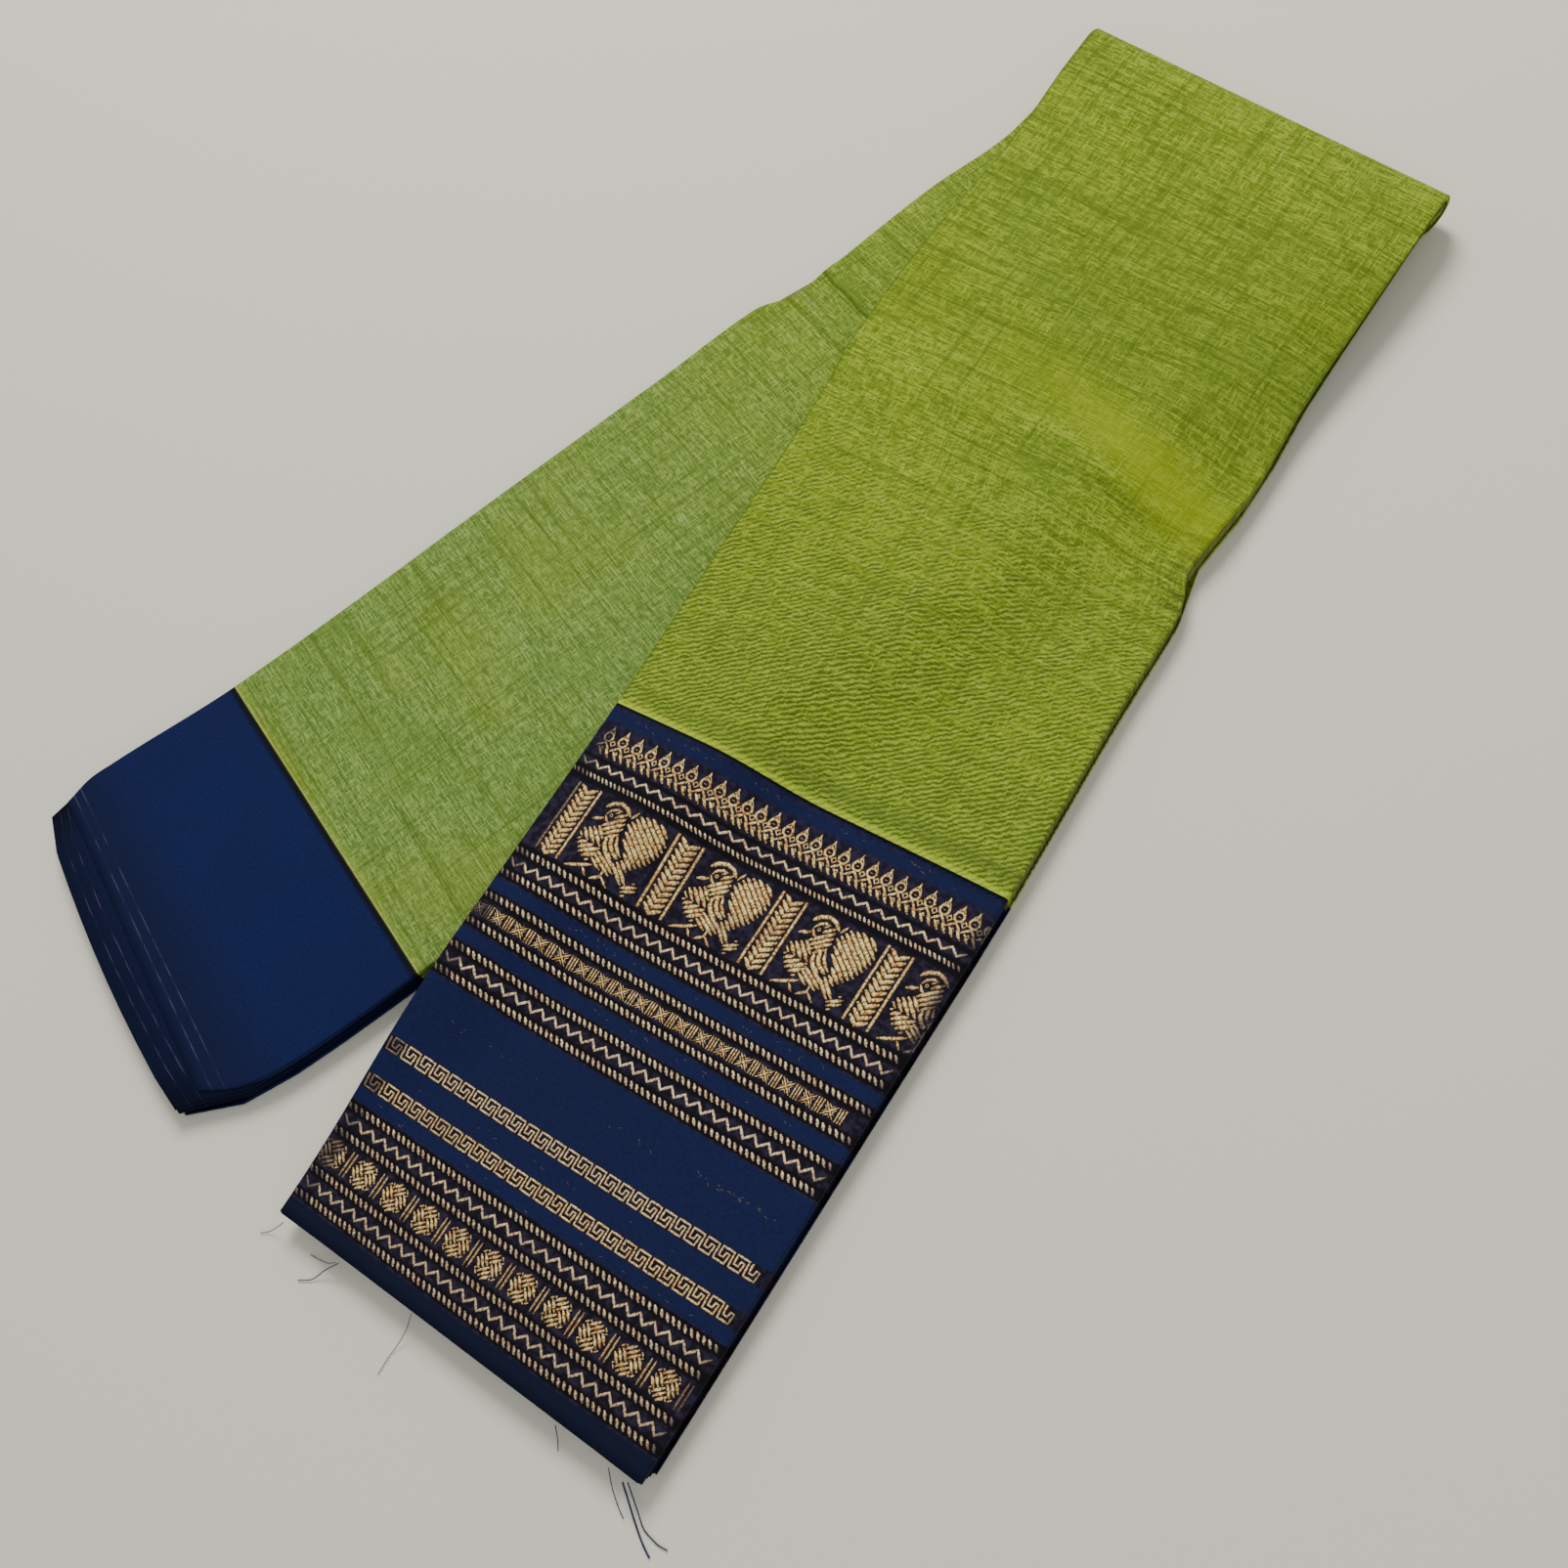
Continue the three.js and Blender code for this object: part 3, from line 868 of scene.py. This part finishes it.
class BorderSurface:
    """Turns millimetres across and down the brocade border into points on the outer skin."""

    def __init__(self, lines, path, front):
        keep = (lines.part == 2) & (lines.along >= ZARI_START - 30 * MM)
        self.along = lines.along[keep]
        grid = front[keep].copy()
        grid[..., :2] -= FOLD_FROM_ORIGIN
        self.grid = grid
        half = np.hypot(*(lines.right - lines.left)[keep].T).mean() / 2
        across = path.side * half + path.offset
        drop = np.abs(path.height - path.height[len(path.height) // 2])
        self.across = across + np.sign(path.side) * drop * (np.abs(path.normal_across) > 1e-6)
        self.half = half
        dv = np.gradient(grid, axis=0)
        du = np.gradient(grid, axis=1)
        normal = np.cross(du, dv)
        normal /= np.linalg.norm(normal, axis=-1, keepdims=True) + 1e-12
        self.normal = normal * np.sign(normal[:, len(path.side) // 2, 2:3].mean())

    def at(self, a, b):
        """a: 0 at the left edge to ZARI_WIDTH at the right; b: down from the border line."""
        across = (np.asarray(a) / ZARI_WIDTH * 2 - 1) * self.half
        along = ZARI_START + (np.asarray(b) + weave_drift(np.asarray(a), np.asarray(b))) * MM
        i = np.interp(along, self.along, np.arange(len(self.along)))
        j = np.interp(across, self.across, np.arange(len(self.across)))
        i0 = np.clip(np.floor(i).astype(int), 0, len(self.along) - 2)
        j0 = np.clip(np.floor(j).astype(int), 0, len(self.across) - 2)
        s, t = (i - i0)[..., None], (j - j0)[..., None]

        def blend(grid):
            top = grid[i0, j0] * (1 - t) + grid[i0, j0 + 1] * t
            low = grid[i0 + 1, j0] * (1 - t) + grid[i0 + 1, j0 + 1] * t
            return top * (1 - s) + low * s
        return blend(self.grid), blend(self.normal)


# A stroke's tint, which is 0 for gold
SILVERY = -1.2
DIM = 0.9
FAINT = 1.6
# A stroke's edges and underside above the cloth, and its reach at the border's sides, in millimetres
EDGE_LIFT = 0.015
UNDERSIDE = -0.1
OVERHANG = 1.2
LEAST_SEEN = 0.4
# How wide a tapered stroke is at its ends, as a share of its width
TAPERED = 0.45


class Brocade:
    """Draws raised floats of thread on the border."""

    def __init__(self, surface):
        self.surface = surface
        self.maker = MeshMaker()

    def stroke(self, points, width=1.0, rise=0.2, taper=True, closed=False, tint=0.0):
        """A raised stroke through points (a, b) in millimetres, domed across and pointed at its ends."""
        points = self.divided(np.asarray(points, float))
        if points[:, 0].max() < LEAST_SEEN or points[:, 0].min() > ZARI_WIDTH - LEAST_SEEN:
            return
        points[:, 0] = np.clip(points[:, 0], -OVERHANG, ZARI_WIDTH + OVERHANG)
        ahead = np.roll(points, -1, axis=0)
        behind = np.roll(points, 1, axis=0)
        if not closed:
            ahead[-1], behind[0] = points[-1], points[0]
        way = ahead - behind
        way /= np.linalg.norm(way, axis=1, keepdims=True) + 1e-9
        side = np.stack([-way[:, 1], way[:, 0]], axis=1)
        half = np.full(len(points), width / 2)
        if taper and not closed:
            half[[0, -1]] *= TAPERED
        left, right = points - side * half[:, None], points + side * half[:, None]
        ring = []
        for line, lift in ((left, EDGE_LIFT), (points, rise), (right, EDGE_LIFT), (points, UNDERSIDE)):
            place_at, normal = self.surface.at(line[:, 0], line[:, 1])
            ring.append(place_at + normal * lift * MM)
        self.add_stroke(np.stack(ring, axis=1), points, closed, tint)

    def add_stroke(self, rings, points, closed, tint):
        """Adds a stroke's rings of four points, with where each lies on the stroke and the border."""
        n = len(points)
        float_at = np.zeros((n, 4, 3))
        float_at[..., 0] = np.array([-1, 0, 1, 0])
        float_at[..., 1] = travelled(points)[:, None] * MM
        float_at[..., 2] = tint + DRAWS.uniform(0, 0.5)
        strip = np.zeros((n, 4, 3))
        strip[..., 0] = points[:, :1] / ZARI_WIDTH
        weave = np.repeat(np.pad(points, ((0, 0), (0, 1)))[:, None, :] * MM, 4, axis=1)
        values = {"float_at": float_at, "strip": strip, "weave": weave}
        values = {name: value.reshape(-1, 3) for name, value in values.items()}
        self.maker.add(rings.reshape(-1, 3), self.stroke_faces(n, closed), 0, **values)

    @staticmethod
    def stroke_faces(n, closed):
        k = np.arange(n if closed else n - 1)[:, None]
        e = np.arange(4)[None, :]
        after, turned = (k + 1) % n, (e + 1) % 4
        corners = [k * 4 + e, k * 4 + turned, after * 4 + turned, after * 4 + e]
        faces = np.stack(corners, axis=-1).reshape(-1, 4)[:, ::-1]
        if closed:
            return faces
        ends = np.array([[0, 1, 2, 3], [4 * n - 1, 4 * n - 2, 4 * n - 3, 4 * n - 4]])
        return np.concatenate([faces, ends])

    @staticmethod
    def divided(points, longest=3.0):
        """Adds points on long stretches, so that a stroke follows the cloth."""
        result = [points[0]]
        for start, end in zip(points[:-1], points[1:]):
            count = max(1, int(math.ceil(np.linalg.norm(end - start) / longest)))
            result += [start + (end - start) * (i / count) for i in range(1, count + 1)]
        return np.array(result)

    def rope(self, b, height=2.3, pitch=2.45, width=1.85):
        """A twisted cord: short slanting floats side by side."""
        a = 1.0
        while a < ZARI_WIDTH - 0.5:
            lean = 0.42 * pitch + DRAWS.uniform(-0.15, 0.15)
            jog = DRAWS.uniform(-0.12, 0.12)
            top, low = (a - lean, b - height / 2 + jog), (a + lean, b + height / 2 + jog)
            self.stroke([top, (a, b + jog), low], width, 0.26, tint=SILVERY)
            a += pitch + DRAWS.uniform(-0.15, 0.15)

    def zigzag(self, b, height=3.0, period=5.9, width=1.6):
        count = int(ZARI_WIDTH / period * 2)
        points = [(1.2 + i * period / 2, b + height / 2 * (1 if i % 2 else -1)) for i in range(count + 1)]
        self.stroke(points, width, 0.24, tint=SILVERY)

    def bar(self, a, top, bottom, width, rise, taper=False, tint=0.0):
        self.stroke([(a, top), (a, bottom)], width, rise, taper=taper, tint=tint)


def hatch(outline, turn, pitch):
    """Parallel lines that fill a closed outline, as pairs of end points."""
    outline = np.asarray(outline, float)
    cos, sin = math.cos(turn), math.sin(turn)
    level = outline @ np.array([-sin, cos])
    along = outline @ np.array([cos, sin])
    lines = []
    for height in np.arange(level.min() + pitch / 2, level.max(), pitch):
        cuts = []
        for k in range(len(outline)):
            l0, l1 = level[k], level[(k + 1) % len(outline)]
            if (l0 - height) * (l1 - height) < 0:
                t = (height - l0) / (l1 - l0)
                cuts.append(along[k] + t * (along[(k + 1) % len(outline)] - along[k]))
        cuts.sort()
        for start, end in zip(cuts[::2], cuts[1::2]):
            if end - start > 0.8:
                lines.append([(start * cos - height * sin, start * sin + height * cos),
                              (end * cos - height * sin, end * sin + height * cos)])
    return lines


# Where the bands lie, in millimetres down the border
ROPES = [67.6, 77.6, 87.9, 99.7, 110.2, 120.5, 179.3, 189.2, 205.5, 215.2]
ZIGZAGS = [72.8, 115.3, 184.3, 210.4]
BIRD_TOP = 33.2
BIRD_PITCH = 44.7


def ropes_and_zigzags(work):
    for b in ROPES:
        work.rope(b)
    work.rope(29.3, 1.8, 1.95, 1.5)
    for b in ZIGZAGS:
        work.zigzag(b)
    work.zigzag(24.6, 2.5, 5.9, 1.55)


def bud_row(work):
    """Ringed buds with pointed tips, joined by a lattice over a row of slanting floats."""
    pitch, middle = 6.04, 12.7
    count = int((ZARI_WIDTH - 4) / pitch)
    for k in range(count + 1):
        a = 6.0 + pitch * k + 2.2 * math.sin(math.pi * min(k / 12, 1))
        ring = [(a + 1.85 * math.sin(t), middle - 1.95 * math.cos(t)) for t in np.radians(range(0, 360, 45))]
        work.stroke(ring, 1.5, 0.28, closed=True)
        work.stroke([(a - 0.5, middle), (a + 0.5, middle)], 1.0, 0.22)
        work.stroke([(a, middle - 4.9), (a, middle - 3.3), (a, middle - 1.9)], 1.5, 0.26)
        for way in (-1, 1):
            work.stroke([(a + 1.7 * way, middle - 1.5), (a + 0.3 * way, middle - 3.5)], 1.1, 0.22)
        low = middle + 2.4
        work.stroke([(a - pitch / 2, low + 2.7), (a, low), (a + pitch / 2, low + 2.7)], 1.5, 0.24)
        work.stroke([(a - 0.9, low + 3.2), (a, low + 2.2), (a + 0.9, low + 3.2)], 1.1, 0.2)
        gap = a + pitch / 2
        box = [(gap, low - 1.6), (gap + 1.0, low - 0.5), (gap, low + 0.7), (gap - 1.0, low - 0.5)]
        work.stroke(box, 1.0, 0.22, closed=True)
        for step in (0.0, 0.5):
            at = a + pitch * step
            work.stroke([(at - 1.4, 17.5), (at, 18.9), (at + 1.4, 20.4)], 1.9, 0.28)


def leaf_column(work, left, width=9.9, bottom=31.0):
    """A stem band of nested leaves between two bars."""
    for side in (0.0, width):
        work.bar(left + side, BIRD_TOP, BIRD_TOP + bottom, 1.6, 0.28)
    b = BIRD_TOP + 0.6
    while b < BIRD_TOP + bottom - 2.0:
        work.stroke([(left + 1.3, b), (left + width / 2, b + 2.7), (left + width - 1.3, b)], 2.5, 0.3)
        b += 2.5


Shape = namedtuple("Shape", "turn pitch width outline")
# The bird's filled parts in its field, in millimetres from the field's top left corner
BIRD_FILLS = {
    "tail": Shape(37, 1.85, 2.3, [
        (16.4, 6.6), (19.4, 1.6), (25, 0), (30.2, 2), (32.8, 6.2), (32.4, 10.8), (29.8, 16.8), (24, 23.4),
        (21.6, 21), (20.8, 17), (18, 12.6)]),
    "neck": Shape(-42, 1.7, 2.1, [
        (9.8, 4.4), (14.4, 3.6), (16, 8.6), (15.4, 13.4), (12, 15.6), (8.4, 13.2), (7.6, 11.4), (11.2, 8.6)]),
    "upper breast": Shape(42, 1.8, 2.25, [(1.8, 15.6), (7.6, 11.8), (11, 14.6), (12, 19), (1.8, 19)]),
    "lower breast": Shape(-36, 1.8, 2.25, [(1.8, 19.4), (12.2, 19.4), (13, 22.4), (9.8, 26.2), (5.4, 24.4)]),
    "body": Shape(28, 1.6, 2.0, [(12.4, 19.4), (16, 21), (22, 23.4), (20.8, 27), (14.6, 26.6), (10.8, 25.6)]),
    "tail root": Shape(41, 1.6, 2.0, [(19, 20.6), (21.8, 21.2), (27.6, 26.4), (24.6, 28.2), (19.4, 24.6)]),
    "hook": Shape(-32, 1.4, 1.8, [
        (25.8, 28.4), (29.2, 26.4), (28.8, 24.2), (31, 24.6), (31.4, 28), (27.4, 31)]),
}
Line = namedtuple("Line", "width route")
BIRD_LINES = {
    "crest": Line(2.2, [(5, 4.6), (7, 2.2), (10, 0.9), (13, 1.6), (15.8, 3.8)]),
    "crest plume": Line(1.5, [(16.4, 4.4), (17.2, 2.8), (18, 1)]),
    "brow": Line(1.6, [(6.8, 7), (8, 4.8), (10, 3.6), (12, 3.6)]),
    "cheek": Line(1.6, [(6.8, 7.4), (8, 9), (10, 9.8)]),
    "beak": Line(2.1, [(6.8, 8.6), (4.8, 9.8), (2.8, 10.8)]),
    "wing": Line(2.4, [(12.2, 14.6), (12.8, 17.4), (14.6, 19.6), (17.8, 21)]),
    "wing edge": Line(2.3, [(13.9, 13.4), (14.8, 16.4), (16.8, 18.6), (20, 20)]),
    "back": Line(1.9, [(15.6, 12.6), (16.6, 15.4), (18.4, 17.4), (20.6, 18.8)]),
    "near leg": Line(1.7, [(13, 26.2), (9, 28.6), (3.8, 31.2)]),
    "near foot": Line(1.5, [(10.4, 28.8), (12.8, 31.2)]),
    "far leg": Line(1.7, [(17.6, 26.4), (17.8, 28.6), (14.6, 31.2)]),
    "far foot": Line(1.5, [(17.8, 28.4), (21.6, 31.2)]),
}


def shell_tail_bird(work, left):
    """A traditional bird in profile with a ribbed shell tail, in the field that starts at left."""
    def move(points):
        return [(left + x, BIRD_TOP + y) for x, y in points]
    for shape in BIRD_FILLS.values():
        for line in hatch(shape.outline, math.radians(shape.turn), shape.pitch):
            work.stroke(move(line), shape.width, 0.26)
    for line in BIRD_LINES.values():
        work.stroke(move(line.route), line.width, 0.26)
    eye = [(8.9 + 0.6 * math.cos(t), 6.7 + 0.6 * math.sin(t)) for t in np.radians(range(0, 360, 72))]
    work.stroke(move(eye), 0.6, 0.2, closed=True)


def bird_band(work):
    for k in range(4):
        column = 6.9 + BIRD_PITCH * k
        leaf_column(work, column)
        shell_tail_bird(work, column + 10.3)


def cross_band(work):
    """Crosses with nested hooks, parted by triple bars."""
    pitch, b, half = 8.98, 94.0, 2.5
    for k in range(18):
        a = 11.2 + pitch * (k - 1)
        for way in (-1, 1):
            work.stroke([(a - half * way, b - half), (a, b), (a + half * way, b + half)], 1.0, 0.26)
            work.stroke([(a + 2.3 * way, b - 1.2), (a + 1.2 * way, b), (a + 2.3 * way, b + 1.2)], 0.75, 0.22)
            work.stroke([(a - 1.2, b + 2.4 * way), (a, b + 1.3 * way), (a + 1.2, b + 2.4 * way)], 0.75, 0.22)
        for step in (-1.1, 0.0, 1.1):
            work.bar(a + pitch / 2 + step, b - 2.7, b + 2.7, 0.85, 0.24)


def key_bands(work):
    """Two bands of a running square key."""
    pitch, high = 6.08, 5.0
    turns = [(0, 0), (0.05, 1), (0.78, 1), (0.8, 0.3), (0.6, 0.3), (0.55, 0.66), (0.27, 0.66), (0.24, 0)]
    for middle in (152.9, 168.3):
        route = []
        for k in range(int(ZARI_WIDTH / pitch)):
            route += [(1.5 + (k + x) * pitch, middle + (y - 0.5) * high) for x, y in turns]
        work.stroke(route, 1.2, 0.26, taper=False, tint=SILVERY / 2)


def disc_band(work):
    """Basket-woven discs parted by double bars."""
    middle, pitch = 197.4, 15.24
    for k in range(11):
        a = 5.0 + pitch * k
        basket_disc(work, a, middle, 5.5)
        for step in (-0.85, 0.85):
            work.bar(a + 6.7 + step + 0.9, middle - 4.9, middle + 4.9, 1.2, 0.24, True, DIM)


def basket_disc(work, a, b, radius):
    """Patches of parallel floats, each turned against its neighbours, kept inside a circle."""
    patch, turn = 4.5, math.radians(45)
    cos, sin = math.cos(turn), math.sin(turn)
    for p in (-1.5, -0.5, 0.5, 1.5):
        for q in (-1.5, -0.5, 0.5, 1.5):
            lengthwise = round(p + q) % 2 == 0
            for line in (-1.5, 0.0, 1.5):
                ends = []
                for t in (-0.52, 0.52):
                    u = p * patch + (t * patch if lengthwise else line)
                    v = q * patch + (line if lengthwise else t * patch)
                    ends.append((u * cos - v * sin, u * sin + v * cos))
                clipped = clip_to_circle(ends, radius)
                if clipped:
                    work.stroke([(a + x, b + y) for x, y in clipped], 1.75, 0.28)


# Where stray floats lie on the plain navy, in millimetres down and across the border
Strays = namedtuple("Strays", "down start end count")
STRAYS = [
    Strays(83, 8, 160, 22), Strays(104.5, 60, 160, 16), Strays(135.6, 8, 120, 12), Strays(135, 126, 160, 26),
    Strays(160.6, 8, 160, 10), Strays(175, 8, 160, 14), Strays(3.4, 10, 160, 26),
]


def stray_floats(work):
    """Faint broken floats on the plain navy between the bands."""
    for row in STRAYS:
        for _ in range(row.count):
            a, jog = DRAWS.uniform(row.start, row.end), DRAWS.uniform(-1.1, 1.1)
            reach, rise = DRAWS.uniform(0.3, 0.8), DRAWS.uniform(-0.5, 0.5)
            b = row.down + jog
            work.stroke([(a - reach, b + rise), (a + reach, b - rise)], 0.35, 0.1, tint=FAINT)


def clip_to_circle(ends, radius):
    """The part of a straight stroke that lies in a circle about the origin, or None."""
    start, end = (np.array(p) for p in ends)
    way = end - start
    inner = [start + way * t for t in np.linspace(0, 1, 17)]
    inner = [p for p in inner if np.hypot(*p) <= radius]
    if len(inner) < 4:
        return None
    return [tuple(inner[0]), tuple(inner[-1])]


BROCADE = {
    "zari_ropes": ropes_and_zigzags,
    "zari_buds": bud_row,
    "zari_birds": bird_band,
    "zari_crosses": cross_band,
    "zari_keys": key_bands,
    "zari_discs": disc_band,
    "zari_strays": stray_floats,
}


def build_brocade(surface, material):
    pieces = []
    for name, draw in BROCADE.items():
        work = Brocade(surface)
        draw(work)
        pieces.append(work.maker.object(name, [material]))
    return pieces


# Loose threads at the brocade end: thickness, then x, y and height from the fold, in millimetres
Thread = namedtuple("Thread", "thickness route")
THREADS = {
    "corner_pair": Thread(0.7, [
        (189.5, -546, 8), (195, -550, 3), (202, -553.7, 0.6), (207, -555.5, 0.4), (210.3, -556.3, 0.4)]),
    "corner_split": Thread(0.5, [
        (190.5, -545, 7), (198, -549.5, 2), (204, -552, 0.5), (209, -551.8, 0.4), (213, -550.6, 0.4)]),
    "corner_fine": Thread(0.36, [
        (183, -546.5, 8), (187, -550.5, 3.5), (192, -553.5, 0.6), (195.5, -554.6, 0.4)]),
    "left_fine": Thread(0.32, [(33, -577, 8), (29.5, -581.5, 3), (27, -585, 0.6), (25, -587.4, 0.4)]),
    "middle_curl": Thread(0.42, [(60, -571.5, 7), (56, -577.5, 3), (53.5, -583.5, 0.6), (49.6, -587.5, 0.4)]),
    "middle_branch": Thread(0.3, [(59, -572, 7), (55, -575, 3.5), (49, -577.5, 0.8), (46, -578.5, 0.4)]),
    "long_fine": Thread(0.28, [(94, -563, 7), (95.5, -570, 3), (96, -578, 0.5), (97.8, -586.2, 0.4)]),
    "short_nub": Thread(0.36, [(160, -550.5, 8), (163, -554, 4), (164.5, -556.5, 1.5)]),
}
TUBE_SIDES = 5
TUBE_STEPS = 22


def tube(points, radius):
    """Rings of points round a smooth curve through points, and the quads between them."""
    knots = travelled(points)
    at = np.linspace(0, knots[-1], TUBE_STEPS)
    centre = np.stack([curve_through(knots, c, at) for c in points.T], axis=1)
    way = np.gradient(centre, axis=0)
    way /= np.linalg.norm(way, axis=1, keepdims=True)
    side = np.cross(way, [0, 0, 1.0])
    side /= np.linalg.norm(side, axis=1, keepdims=True)
    up = np.cross(side, way)
    turns = (2 * np.pi * np.arange(TUBE_SIDES) / TUBE_SIDES)[None, :, None]
    ring = centre[:, None] + radius * (np.cos(turns) * side[:, None] + np.sin(turns) * up[:, None])
    k, e = np.meshgrid(np.arange(TUBE_STEPS - 1), np.arange(TUBE_SIDES), indexing="ij")
    here, ahead, turned = k * TUBE_SIDES, (k + 1) * TUBE_SIDES, (e + 1) % TUBE_SIDES
    faces = np.stack([here + e, here + turned, ahead + turned, ahead + e], axis=-1)
    return ring.reshape(-1, 3), faces.reshape(-1, 4)


def build_threads(material, origin):
    points, faces = [], []
    ring_size = TUBE_SIDES * TUBE_STEPS
    for count, thread in enumerate(THREADS.values()):
        route = np.array(thread.route) * MM - np.array([*origin, 0.0])
        ring, quads = tube(route, thread.thickness * MM / 2)
        start = count * ring_size
        last = start + ring_size - TUBE_SIDES
        points.append(ring)
        faces += (quads + start).tolist()
        faces += [list(range(start, start + TUBE_SIDES))[::-1], list(range(last, last + TUBE_SIDES))]
    points = np.concatenate(points)
    mesh = bpy.data.meshes.new("loose_threads")
    mesh.from_pydata(points.tolist(), [], faces)
    mesh.materials.append(material)
    layer = mesh.attributes.new("float_at", "FLOAT_VECTOR", "POINT")
    layer.data.foreach_set("vector", points.astype(np.float32).ravel())
    mesh.polygons.foreach_set("use_smooth", np.ones(len(faces), bool))
    mesh.update()
    return link(bpy.data.objects.new("loose_threads", mesh))


def set_camera(origin):
    data = bpy.data.cameras.new("camera")
    data.lens = CAMERA_LENS
    data.sensor_width = 36
    camera = bpy.data.objects.new("camera", data)
    x, y, z = CAMERA_FROM_FOLD
    camera.location = (x - origin[0], y - origin[1], z)
    camera.rotation_euler = [math.radians(turn) for turn in CAMERA_TURN]
    bpy.context.scene.camera = link(camera)


def area_light(name, at, aim, size, power, colour=(1, 1, 1)):
    data = bpy.data.lights.new(name, "AREA")
    data.shape = "DISK"
    data.size = size
    data.energy = power
    data.color = colour
    light = bpy.data.objects.new(name, data)
    light.location = at
    light.rotation_euler = (Vector(aim) - Vector(at)).to_track_quat("-Z", "Y").to_euler()
    link(light)


def set_stage():
    """A pale floor just under the cloth, a soft room and two wide lamps."""
    mesh = bpy.data.meshes.new("floor")
    corners = [(x * FLOOR_REACH, y * FLOOR_REACH, 0) for x, y in ((-1, -1), (1, -1), (1, 1), (-1, 1))]
    mesh.from_pydata(corners, [], [(0, 1, 2, 3)])
    floor = link(bpy.data.objects.new("floor", mesh))
    floor.location.z = -FLOOR_DROP
    material, nodes, shader = new_material("pale_floor")
    nodes.fill(shader, {"Base Color": srgb(229, 226, 208), "Roughness": 0.9})
    mesh.materials.append(material)
    world = bpy.data.worlds.new("soft_room")
    world.use_nodes = True
    background = world.node_tree.nodes["Background"]
    background.inputs[0].default_value = (0.95, 0.97, 1.0, 1)
    background.inputs[1].default_value = 0.45
    bpy.context.scene.world = world
    area_light("key", (-0.9, 0.9, 1.5), (0, 0, 0), 0.9, 34, (1.0, 0.98, 0.94))
    area_light("fill", (1.1, -0.9, 1.4), (0, 0, 0), 1.4, 7)


def assemble():
    set_camera(FOLD_FROM_ORIGIN)
    green, navy, zari = green_cotton(), navy_cotton(), zari_metal()
    cloth, skin = build_cloth([green, navy])
    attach(cloth, "root")
    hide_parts("folded_sari")
    surface = BorderSurface(*skin)
    for piece in build_brocade(surface, zari):
        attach(piece, "root")
    threads = build_threads(thread_material(), FOLD_FROM_ORIGIN)
    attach(threads, "root")
    set_stage()


assemble()
